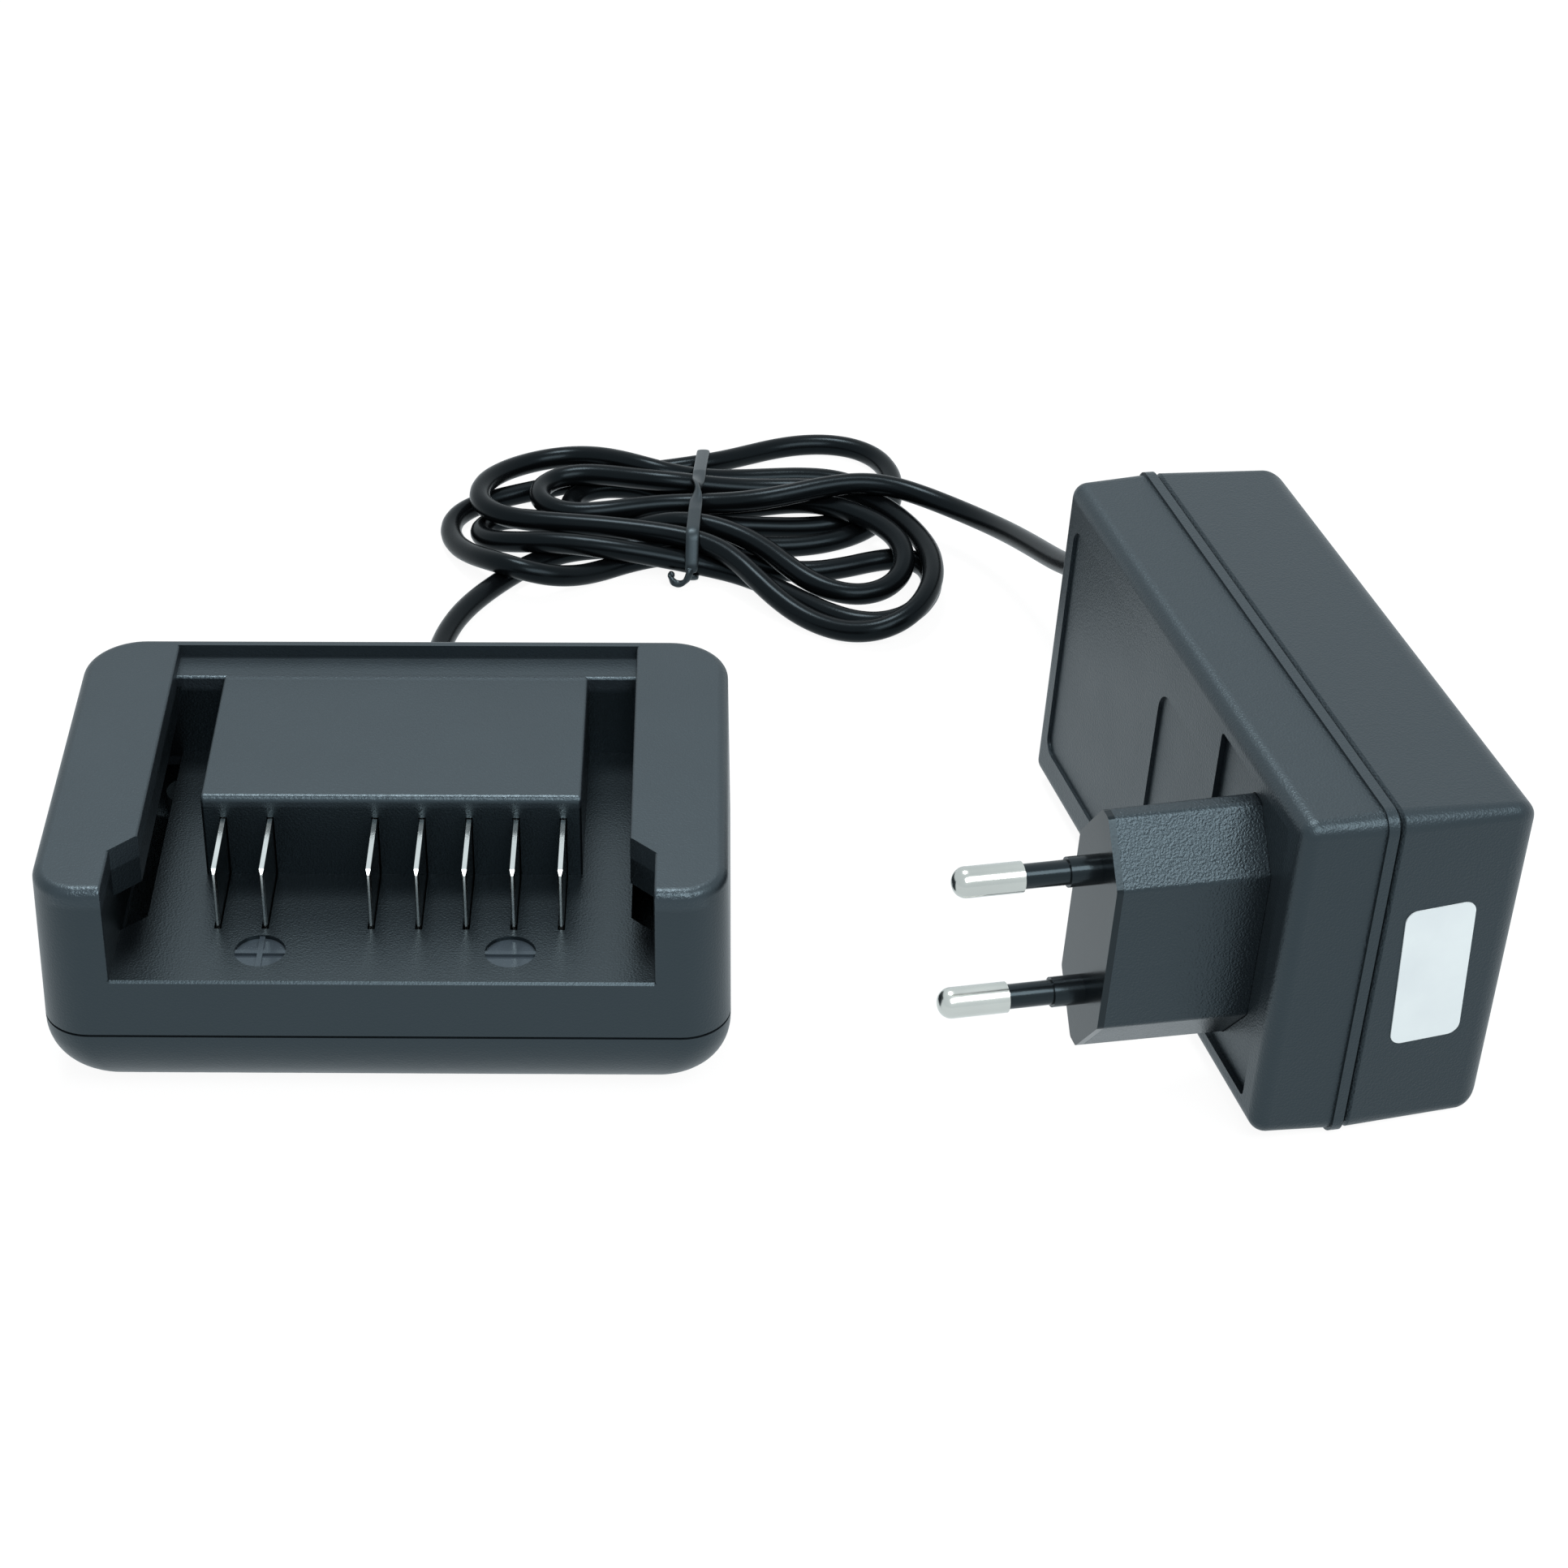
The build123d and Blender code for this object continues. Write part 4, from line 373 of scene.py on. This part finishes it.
def mask_of(tree, group, **values):
    """Placed mask group with its own values. Returns its output."""
    node = tree.nodes.new("ShaderNodeGroup")
    node.node_tree = group
    for label, value in values.items():
        node.inputs[label].default_value = value
    return node.outputs["Mask"]


def joined(tree, masks):
    """Largest of several masks."""
    result = masks[0]
    for mask in masks[1:]:
        result = math_node(tree, "MAXIMUM", result, mask)
    return result


def boxes_mask(tree, boxes, softness):
    """Mask of several boxes, with edges of one softness."""
    return joined(tree, [
        mask_of(tree, box_group(), Low=low, High=high, Softness=softness) for low, high in boxes
    ])


def blend(tree, mask, low, high):
    """Value that runs from low to high, each a socket or a number, as the mask runs from 0 to 1."""
    node = tree.nodes.new("ShaderNodeMapRange")
    tree.links.new(mask, node.inputs["Value"])
    for label, value in (("To Min", low), ("To Max", high)):
        if isinstance(value, bpy.types.NodeSocket):
            tree.links.new(value, node.inputs[label])
        else:
            node.inputs[label].default_value = value
    return node.outputs["Result"]


def blend_colour(tree, mask, low, high):
    """Colour that runs from low to high, each a socket or a plain colour, as the mask runs from 0 to 1."""
    node = tree.nodes.new("ShaderNodeMix")
    node.data_type = "RGBA"
    tree.links.new(mask, node.inputs["Factor"])
    for socket, value in zip((s for s in node.inputs if s.type == "RGBA"), (low, high)):
        if isinstance(value, bpy.types.NodeSocket):
            tree.links.new(value, socket)
        else:
            socket.default_value = (*value, 1.0)
    return next(s for s in node.outputs if s.type == "RGBA")


def shaded(colour, share):
    """Colour at a share of its strength, no brighter than white."""
    return tuple(min(1.0, share * value) for value in colour)


def worn_pits(tree, scale):
    """Height of the deeper pits on the edges that also get a painted highlight."""
    pits = tree.nodes.new("ShaderNodeTexNoise")
    pits.inputs["Scale"].default_value = scale * WORN_PIT_SCALE
    pits.inputs["Detail"].default_value = 3.0
    place = tree.nodes.new("ShaderNodeTexCoord")
    tree.links.new(place.outputs["Object"], pits.inputs["Vector"])
    return math_node(tree, "MULTIPLY", pits.outputs["Fac"], WORN_PIT_DEPTH)


def add_grain(material, shader, scale, coarse, depth, rough_low, rough_high,
              polished_and_reflecting=None, pitted_and_highlit=None, hollow_shade=None, bay_shade=None):
    """Grain as a bump of the given depth in metres, and a slow change of roughness and shade.

    Polished areas lose the grain and shine, with a lighter shade that is a painted reflection. Edges get
    deeper pits and a lighter shade that is a painted highlight. The bay is smoother, with a painted shade.
    Hollows inside the housing get a painted shade that leaves them nearly black.
    """
    tree = material.node_tree
    colour = tuple(shader.inputs["Base Color"].default_value)[:3]
    grain = tree.nodes.new("ShaderNodeGroup")
    grain.node_tree = grain_group()
    grain.inputs["Scale"].default_value = scale
    grain.inputs["Coarse"].default_value = coarse
    height = grain.outputs["Height"]
    rough = blend(tree, grain.outputs["Tone"], rough_low, rough_high)
    shade = blend_colour(tree, grain.outputs["Tone"], *(shaded(colour, share) for share in SHADE_DRIFT))
    if pitted_and_highlit is not None:
        height = blend(tree, pitted_and_highlit, height, worn_pits(tree, scale))
    if polished_and_reflecting is not None:
        height = blend(tree, polished_and_reflecting, height, FLAT_HEIGHT)
    # The shades set here are painted: shade in the bay and the hollows, a highlight on the edges, a
    # reflection on the marks.
    for mask, (roughness, share) in ((bay_shade, PAINTED_BAY_SHADE), (pitted_and_highlit, PAINTED_EDGE_HIGHLIGHT), (polished_and_reflecting, POLISH_AND_PAINTED_REFLECTION), (hollow_shade, PAINTED_HOLLOW_SHADE)):
        if mask is not None:
            rough = blend(tree, mask, rough, roughness)
            shade = blend_colour(tree, mask, shade, shaded(colour, share))
    bump = tree.nodes.new("ShaderNodeBump")
    bump.inputs["Distance"].default_value = depth
    tree.links.new(height, bump.inputs["Height"])
    tree.links.new(bump.outputs["Normal"], shader.inputs["Normal"])
    tree.links.new(rough, shader.inputs["Roughness"])
    tree.links.new(shade, shader.inputs["Base Color"])


def dress(names, material):
    """Gives a material to every slot of the named CAD nodes."""
    for name in names:
        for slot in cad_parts[name].material_slots:
            slot.material = material


def moulded(name, colour, roughness, scale=2500.0, coarse=0.5, depth=0.00002, tint=WHITE, specular=0.5):
    """Moulded plastic with an even grain."""
    material, shader = new_material(name, colour, roughness, specular=specular, tint=tint)
    add_grain(material, shader, scale, coarse, depth, roughness - ROUGH_DRIFT, roughness + ROUGH_DRIFT)
    return material


def cradle_plastic(colours, sizes):
    """Black plastic of the cradle: polished marks with painted reflection, pitted edges with painted
    highlight, painted shade in the bay and nearly black painted shade in the hollows.
    """
    plastic, shader = new_material("cradle plastic", colours.cradle, HOUSING_ROUGHNESS,
                                   specular=HOUSING_SPECULAR, tint=colours.gloss)
    tree = plastic.node_tree
    marks = joined(tree, [
        mask_of(tree, disc_group(), Centre=(x, MARK_Y, 0), Radius=sizes.mark_radius) for x in MARK_X
    ])
    edges = boxes_mask(tree, PITTED_HIGHLIT_EDGES, softness=0.0007)
    inner = boxes_mask(tree, HOLLOWS, softness=0.0002)
    bay = boxes_mask(tree, (BAY,), softness=0.0003)
    add_grain(plastic, shader, scale=1 / sizes.grain_size, coarse=0.5, depth=0.000034,
              rough_low=HOUSING_ROUGHNESS - ROUGH_DRIFT, rough_high=HOUSING_ROUGHNESS + ROUGH_DRIFT,
              polished_and_reflecting=marks, pitted_and_highlit=edges, hollow_shade=inner, bay_shade=bay)
    return plastic


def blade_tin():
    """Tin of the blades, with a painted dark reflection on their broad sides; their thin edges stay bright.
    """
    tin, shader = new_material("tin", (0.62, 0.65, 0.64), 0.22, metallic=1.0)
    add_grain(tin, shader, scale=900.0, coarse=0.0, depth=0.00001, rough_low=0.16, rough_high=0.3)
    tree = tin.node_tree
    cores = [((x - BLADE_CORE, -BLADE_ROOM, 0), (x + BLADE_CORE, BLADE_ROOM, BLADE_ROOM)) for x in BLADE_X]
    rims = boxes_mask(tree, cores, softness=0.00001)
    bright = shader.inputs["Base Color"].links[0].from_socket
    # The broad sides get a painted dark reflection of the housing; the thin edges keep the tin's bright
    # colour.
    tree.links.new(blend_colour(tree, rims, (0.07, 0.078, 0.08), bright), shader.inputs["Base Color"])
    return tin


# ---------------------------------------------------------------- surfaces

def strip(path, across, out, half_width, half_thickness, sides=20):
    """Flat ribbon carried along a path, shrunk to a point at both ends.

    Each section is a flattened oval: the cosine of the angle times the half width along the across
    direction, plus the sine times the half thickness along the outward one. Cosine and sine are raised to
    a power below one with their sign kept, which squares the oval's shoulders. Near an end the section's
    size follows a quarter circle.
    """
    angle = np.linspace(0, 2 * np.pi, sides, endpoint=False)
    wide = np.sign(np.cos(angle)) * np.abs(np.cos(angle)) ** SHOULDER
    thick = np.sign(np.sin(angle)) * np.abs(np.sin(angle)) ** SHOULDER
    count = len(path)
    step = np.minimum(np.arange(count), np.arange(count)[::-1]) / END_PLACES
    fade = np.sqrt(np.clip(1 - (1 - np.clip(step, 0, 1)) ** 2, 1e-6, 1))
    places = (path[:, None]
              + (half_width * fade)[:, None, None] * wide[None, :, None] * across[:, None]
              + (half_thickness * fade)[:, None, None] * thick[None, :, None] * out[:, None])
    row, column = np.meshgrid(np.arange(count - 1), np.arange(sides), indexing="ij")
    ahead, beside = row + 1, (column + 1) % sides
    corners = [row * sides + column, row * sides + beside, ahead * sides + beside, ahead * sides + column]
    return places.reshape(-1, 3), np.stack(corners, -1).reshape(-1, 4)


def hull_path(centres, radius, count):
    """Outline of a thread pulled tight round circles of one radius in the y-z plane.

    For each direction the outermost circle is found, and the point at its rim in that direction is
    taken. The points are then spread evenly along the outline. Returns places and outward directions.
    """
    angle = np.linspace(0, 2 * np.pi, HULL_DIRECTIONS)
    out = np.stack([np.cos(angle), np.sin(angle)], 1)
    outer = np.argmax(out @ centres.T, axis=1)
    rim = centres[outer] + radius * out
    run = np.concatenate([[0], np.cumsum(np.linalg.norm(np.diff(rim, axis=0), axis=1))])
    even = np.linspace(0, run[-1], count, endpoint=False)
    places = np.stack([np.interp(even, run, rim[:, k]) for k in (0, 1)], 1)
    along = np.roll(places, -1, 0) - np.roll(places, 1, 0)
    along /= np.linalg.norm(along, axis=1)[:, None]
    return places, np.stack([along[:, 1], -along[:, 0]], 1)


def smooth_path(points, count):
    """Even places on a curve through a few points: a cubic through each four of them in turn."""
    points = np.asarray(points, float)
    padded = np.vstack([2 * points[0] - points[1], points, 2 * points[-1] - points[-2]])
    t = np.linspace(0, len(points) - 1 - 1e-9, count * 8)
    k = t.astype(int)
    f = (t - k)[:, None]
    a, b, c, d = (padded[k + i] for i in range(4))
    fine = 0.5 * (2 * b + (c - a) * f
                  + (2 * a - 5 * b + 4 * c - d) * f ** 2
                  + (3 * b - a - 3 * c + d) * f ** 3)
    run = np.concatenate([[0], np.cumsum(np.linalg.norm(np.diff(fine, axis=0), axis=1))])
    even = np.linspace(0, run[-1], count)
    return np.stack([np.interp(even, run, fine[:, i]) for i in range(3)], 1)


def piece(name, parts, material):
    """Mesh object of several surfaces, smooth shaded, that rides on the body."""
    places = np.concatenate([part[0] for part in parts])
    shift = np.cumsum([0] + [len(part[0]) for part in parts[:-1]])
    faces = np.concatenate([part[1] + s for part, s in zip(parts, shift)])
    mesh = bpy.data.meshes.new(name)
    mesh.from_pydata(places.tolist(), [], faces.tolist())
    merged = bmesh.new()
    merged.from_mesh(mesh)
    bmesh.ops.remove_doubles(merged, verts=merged.verts, dist=POLE_REACH)
    bmesh.ops.recalc_face_normals(merged, faces=merged.faces)
    merged.to_mesh(mesh)
    merged.free()
    mesh.polygons.foreach_set("use_smooth", np.ones(len(mesh.polygons), dtype=bool))
    mesh.materials.append(material)
    mesh.update()
    made = bpy.data.objects.new(name, mesh)
    bpy.context.collection.objects.link(made)
    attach(made, BODY)
    return made


# ---------------------------------------------------------------- pieces

class CHARGER_OT_cradle(bpy.types.Operator):
    """Finish the cradle: grained black shells, polished marks with painted reflection, pitted edges with
    painted highlight, painted shade in the bay and hollows, tin blades with painted dark sides, and their
    carrier.
    """
    bl_idname = "charger.cradle"
    bl_label = "Cradle finish"

    def execute(self, context):
        colours, sizes = context.scene.charger_colours, context.scene.charger_sizes
        dress(["cradle_top_shell", "cradle_bottom_shell"], cradle_plastic(colours, sizes))
        dress(["contact_carrier"],
              moulded("carrier plastic", (0.008, 0.009, 0.01), 0.5, tint=colours.gloss))
        dress([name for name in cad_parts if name.startswith("contact_blade")], blade_tin())
        return {"FINISHED"}


class CHARGER_OT_adapter(bpy.types.Operator):
    """Finish the adapter: grained black shells, nickel pins with insulating sleeves, blank sticker."""
    bl_idname = "charger.adapter"
    bl_label = "Adapter finish"

    def execute(self, context):
        colours, sizes = context.scene.charger_colours, context.scene.charger_sizes
        scale = 1 / sizes.grain_size
        dress(["adapter_front_shell", "adapter_rear_shell"],
              moulded("adapter plastic", colours.adapter, HOUSING_ROUGHNESS, scale=scale, depth=0.00006,
                      tint=colours.gloss, specular=HOUSING_SPECULAR))
        dress(["plug_tower"],
              moulded("plug plastic", colours.adapter, 0.33, scale=scale, coarse=0.2, depth=0.00009,
                      tint=colours.gloss, specular=HOUSING_SPECULAR))
        nickel, shader = new_material("nickel", (0.55, 0.56, 0.53), 0.2, metallic=1.0)
        add_grain(nickel, shader, scale=700.0, coarse=0.0, depth=0.000008, rough_low=0.14, rough_high=0.26)
        dress(["plug_pin_upper", "plug_pin_lower"], nickel)
        dress(["pin_sleeve_upper", "pin_sleeve_lower", "pin_carrier"],
              moulded("sleeve plastic", (0.004, 0.0048, 0.0056), 0.2, depth=0.000006,
                      tint=colours.gloss, specular=0.35))
        dress(["adapter_sticker"],
              moulded("sticker film", colours.sticker, 0.4, scale=1200.0, depth=0.000004))
        return {"FINISHED"}


class CHARGER_OT_inside(bpy.types.Operator):
    """Finish what the housings hide: boards, windings, cans, leads and screws."""
    bl_idname = "charger.inside"
    bl_label = "Inner parts finish"

    def execute(self, context):
        finishes = {
            "board laminate": ((0.02, 0.12, 0.05), 0.4, 0.0, ("main_board", "cradle_board")),
            "ferrite": ((0.05, 0.05, 0.052), 0.6, 0.0, ("transformer_core", "mains_choke")),
            "winding tape": ((0.6, 0.42, 0.08), 0.35, 0.0, ("transformer_winding",)),
            "capacitor sleeve": ((0.02, 0.03, 0.1), 0.3, 0.0,
                                 ("bulk_capacitor", "output_capacitors", "cradle_capacitor")),
            "film case": ((0.55, 0.4, 0.05), 0.35, 0.0, ("suppression_capacitor",)),
            "heatsink": ((0.7, 0.7, 0.72), 0.35, 1.0, ("primary_heatsink", "output_heatsink")),
            "screw steel": ((0.45, 0.45, 0.47), 0.3, 1.0, ("cradle_screws",)),
            "fuse body": ((0.5, 0.45, 0.35), 0.3, 0.0, ("mains_fuse",)),
            "lead insulation": ((0.4, 0.02, 0.02), 0.4, 0.0,
                                ("cradle_leads", "mains_leads", "output_leads")),
            "component plastic": ((0.015, 0.015, 0.016), 0.45, 0.0,
                                  ("balance_chip", "control_chip", "optocoupler", "power_switch",
                                   "output_rectifier", "reverse_diode", "bridge_rectifier",
                                   "transformer_bobbin")),
        }
        for name, (colour, roughness, metallic, nodes) in finishes.items():
            material, shader = new_material(name, colour, roughness, metallic)
            add_grain(material, shader, scale=1500.0, coarse=0.3, depth=0.00001,
                      rough_low=roughness - INNER_DRIFT, rough_high=roughness + INNER_DRIFT)
            dress(nodes, material)
        return {"FINISHED"}


class CHARGER_OT_cord(bpy.types.Operator):
    """Lay the cord: out of the cradle, through the tied hank and into the adapter."""
    bl_idname = "charger.cord"
    bl_label = "Cord"

    def execute(self, context):
        sizes = context.scene.charger_sizes
        curve = bpy.data.curves.new("cord", "CURVE")
        curve.dimensions = "3D"
        line = curve.splines.new("NURBS")
        line.points.add(len(CORD_ROUTE) - 1)
        places = np.ones((len(CORD_ROUTE), 4))
        places[:, :3] = CORD_ROUTE
        line.points.foreach_set("co", places.ravel())
        line.order_u = 3
        line.use_endpoint_u = True
        line.resolution_u = 8
        curve.bevel_depth = sizes.cord_diameter / 2
        curve.bevel_resolution = 6
        curve.use_fill_caps = True
        cord = bpy.data.objects.new("cord", curve)
        bpy.context.collection.objects.link(cord)
        colours = context.scene.charger_colours
        material = moulded("cord jacket", colours.jacket, 0.26, scale=1800.0, depth=0.000005,
                           tint=colours.gloss, specular=0.12)
        curve.materials.append(material)
        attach(cord, BODY)
        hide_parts("cord_cradle_end", "cord_hank", "cord_adapter_end")
        dress(["cradle_strain_relief", "adapter_strain_relief"],
              moulded("relief rubber", (0.009, 0.0105, 0.012), 0.4, depth=0.00001, tint=colours.gloss))
        return {"FINISHED"}


class CHARGER_OT_tie(bpy.types.Operator):
    """Wrap the flat wire tie round the hank, with a half turn on top and a hooked end in front."""
    bl_idname = "charger.tie"
    bl_label = "Wire tie"

    def execute(self, context):
        sizes, colours = context.scene.charger_sizes, context.scene.charger_colours
        plastic = moulded("tie plastic", colours.tie, 0.38, scale=2600.0, depth=0.000008,
                          tint=colours.gloss, specular=0.4)
        wide, thick = sizes.tie_width / 2, sizes.tie_thickness / 2
        parts = [self.band(sizes, wide, thick), self.hook(wide, thick)]
        ribbon = piece("tie_ribbon", parts, plastic)
        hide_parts("twist_tie")
        return {"FINISHED"}

    def band(self, sizes, wide, thick):
        """Outline of the bundle where the route crosses the tie's plane, with a half turn on top.

        The turn runs as a smooth step of y from 0 to half a circle, and lifts the band by the sine of it.
        """
        route = np.array(CORD_ROUTE)
        near, far = route[:-1], route[1:]
        crossing = (near[:, 0] - TIE_X) * (far[:, 0] - TIE_X) < 0
        crossing &= near[:, 1] > TIE_FRONT
        share = ((TIE_X - near[crossing, 0]) / (far[crossing, 0] - near[crossing, 0]))[:, None]
        centres = (near[crossing] + share * (far[crossing] - near[crossing]))[:, 1:]
        middle = centres[:, 0].mean()
        places, out = hull_path(centres, sizes.cord_diameter / 2 + thick + TIE_GAP, TIE_PLACES)
        start = np.argmin(places[:, 0] + TIE_START * places[:, 1])
        places, out = np.roll(places, -start, 0), np.roll(out, -start, 0)
        step = np.clip((places[:, 0] - TIE_TURN[0]) / (TIE_TURN[1] - TIE_TURN[0]), 0, 1)
        upper = places[:, 1] > TIE_TOP
        turn = np.where(upper, np.pi * step * step * (3 - 2 * step), np.where(out[:, 0] > 0, np.pi, 0.0))
        turn = np.where(out[:, 1] < TIE_UNDER, np.pi * (places[:, 0] > middle), turn)
        lift = np.abs(np.sin(turn)) * (wide - thick) * TURN_LIFT
        places = places + out * lift[:, None]
        places[:, 1] = np.maximum(places[:, 1], thick + FLOOR_GAP)
        path = np.column_stack([TIE_X + TIE_LEAN * (places[:, 0] - middle), places])
        normal = np.column_stack([np.zeros(len(out)), out])
        side = np.zeros_like(normal)
        side[:, 0] = 1
        pinch = 1 - TURN_PINCH * np.sin(turn)[:, None] ** 2
        across = (np.cos(turn)[:, None] * side + np.sin(turn)[:, None] * normal) * pinch
        outward = np.cos(turn)[:, None] * normal - np.sin(turn)[:, None] * side
        return strip(path, across, outward, wide, thick)

    def hook(self, wide, thick):
        """Twisted end of the tie: a narrow strip that makes one full turn about its path as it curls."""
        path = smooth_path(TIE_HOOK, HOOK_PLACES)
        along = np.gradient(path, axis=0)
        along /= np.linalg.norm(along, axis=1)[:, None]
        side = np.cross(along, (0.0, 0.0, 1.0))
        side /= np.linalg.norm(side, axis=1)[:, None]
        up = np.cross(side, along)
        turn = np.linspace(0, 2 * np.pi, len(path))[:, None]
        across = np.cos(turn) * side + np.sin(turn) * up
        outward = np.cos(turn) * up - np.sin(turn) * side
        return strip(path, across, outward, HOOK_WIDTH * wide, HOOK_THICKNESS * thick)


class CHARGER_OT_stage(bpy.types.Operator):
    """Set up the pale floor, the soft lamps and the camera."""
    bl_idname = "charger.stage"
    bl_label = "Stage"

    def execute(self, context):
        scene = context.scene
        scene.view_settings.view_transform = "Standard"
        self.floor()
        self.lamps()
        self.camera(scene)
        return {"FINISHED"}

    def floor(self):
        """Square floor whose glow shows white, and a world of the same white."""
        mesh = bpy.data.meshes.new("floor")
        reach = FLOOR_REACH
        corners = [(-reach, -reach, 0), (reach, -reach, 0), (reach, reach, 0), (-reach, reach, 0)]
        mesh.from_pydata(corners, [], [(0, 1, 2, 3)])
        floor = bpy.data.objects.new("floor", mesh)
        bpy.context.collection.objects.link(floor)
        material = bpy.data.materials.new("pale floor")
        material.use_nodes = True
        tree = material.node_tree
        tree.nodes.remove(tree.nodes["Principled BSDF"])
        matt = tree.nodes.new("ShaderNodeBsdfDiffuse")
        matt.inputs["Color"].default_value = FLOOR_SHADE
        glow = tree.nodes.new("ShaderNodeEmission")
        self.cool_white(tree, glow)
        both = tree.nodes.new("ShaderNodeAddShader")
        tree.links.new(blend(tree, self.background_rays(tree), *FLOOR_GLOW), glow.inputs["Strength"])
        tree.links.new(matt.outputs["BSDF"], both.inputs[0])
        tree.links.new(glow.outputs["Emission"], both.inputs[1])
        tree.links.new(both.outputs["Shader"], tree.nodes["Material Output"].inputs["Surface"])
        mesh.materials.append(material)
        world = bpy.data.worlds.new("studio")
        bpy.context.scene.world = world
        world.use_nodes = True
        tree = world.node_tree
        back = tree.nodes["Background"]
        self.cool_white(tree, back)
        tree.links.new(blend(tree, self.background_rays(tree), *WORLD_GLOW), back.inputs["Strength"])

    def cool_white(self, tree, shader):
        """White for the camera, and a slightly cool white for the rays that light the object."""
        seen = tree.nodes.new("ShaderNodeLightPath").outputs["Is Camera Ray"]
        tree.links.new(blend_colour(tree, seen, COOL_WHITE, WHITE), shader.inputs["Color"])

    def background_rays(self, tree):
        """Rays that show the white background: from the camera, and off or through shiny surfaces."""
        rays = tree.nodes.new("ShaderNodeLightPath").outputs
        total = math_node(tree, "ADD", rays["Is Camera Ray"], rays["Is Glossy Ray"])
        total = math_node(tree, "ADD", total, rays["Is Transmission Ray"])
        return math_node(tree, "MINIMUM", total, 1.0)

    def lamps(self):
        """Soft rectangular lamps, each turned to its aim."""
        for name, place, aim, size, power in LAMPS:
            light = bpy.data.lights.new(name, "AREA")
            light.shape = "RECTANGLE"
            light.size, light.size_y = size
            light.energy = power
            lamp = bpy.data.objects.new(name, light)
            lamp.location = place
            lamp.rotation_euler = (Vector(aim) - Vector(place)).to_track_quat("-Z", "Y").to_euler()
            bpy.context.collection.objects.link(lamp)

    def camera(self, scene):
        """Pinhole camera: turned by yaw, then pitch, then roll, and shifted to its principal point."""
        data = bpy.data.cameras.new("camera")
        data.sensor_width = SENSOR
        data.lens = FOCAL_PIXELS / FRAME_PIXELS * SENSOR
        data.shift_x = (FRAME_PIXELS / 2 - PRINCIPAL[0]) / FRAME_PIXELS
        data.shift_y = (PRINCIPAL[1] - FRAME_PIXELS / 2) / FRAME_PIXELS
        data.clip_start, data.clip_end = CAMERA_CLIP
        ahead = math.cos(PITCH)
        forward = Vector((math.sin(YAW) * ahead, math.cos(YAW) * ahead, -math.sin(PITCH)))
        level_right = Vector((math.cos(YAW), -math.sin(YAW), 0))
        level_up = level_right.cross(forward)
        right = math.cos(ROLL) * level_right + math.sin(ROLL) * level_up
        up = -math.sin(ROLL) * level_right + math.cos(ROLL) * level_up
        turn = Matrix((right, up, -forward)).transposed()
        camera = bpy.data.objects.new("camera", data)
        camera.matrix_world = Matrix.Translation(CAMERA_PLACE) @ turn.to_4x4()
        bpy.context.collection.objects.link(camera)
        scene.camera = camera


class CHARGER_PT_panel(bpy.types.Panel):
    """Lists the charger's pieces and their settings."""
    bl_idname = "CHARGER_PT_panel"
    bl_label = "Battery charger"
    bl_space_type = "VIEW_3D"
    bl_region_type = "UI"
    bl_category = "Charger"

    def draw(self, context):
        for settings in (context.scene.charger_sizes, context.scene.charger_colours):
            for name in settings.__annotations__:
                self.layout.prop(settings, name)
        for operator in OPERATORS:
            self.layout.operator(operator.bl_idname)


OPERATORS = (
    CHARGER_OT_cradle, CHARGER_OT_adapter, CHARGER_OT_inside,
    CHARGER_OT_cord, CHARGER_OT_tie, CHARGER_OT_stage,
)
CLASSES = (ChargerSizes, ChargerColours, *OPERATORS, CHARGER_PT_panel)


def register():
    """Adds the classes and their settings to Blender."""
    for cls in CLASSES:
        bpy.utils.register_class(cls)
    bpy.types.Scene.charger_sizes = PointerProperty(type=ChargerSizes)
    bpy.types.Scene.charger_colours = PointerProperty(type=ChargerColours)


def unregister():
    """Takes the settings and the classes out again."""
    del bpy.types.Scene.charger_sizes
    del bpy.types.Scene.charger_colours
    for cls in reversed(CLASSES):
        bpy.utils.unregister_class(cls)


def main():
    """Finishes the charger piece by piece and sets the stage."""
    register()
    bpy.ops.charger.cradle()
    bpy.ops.charger.adapter()
    bpy.ops.charger.inside()
    bpy.ops.charger.cord()
    bpy.ops.charger.tie()
    bpy.ops.charger.stage()


if __name__ == "__main__":
    main()
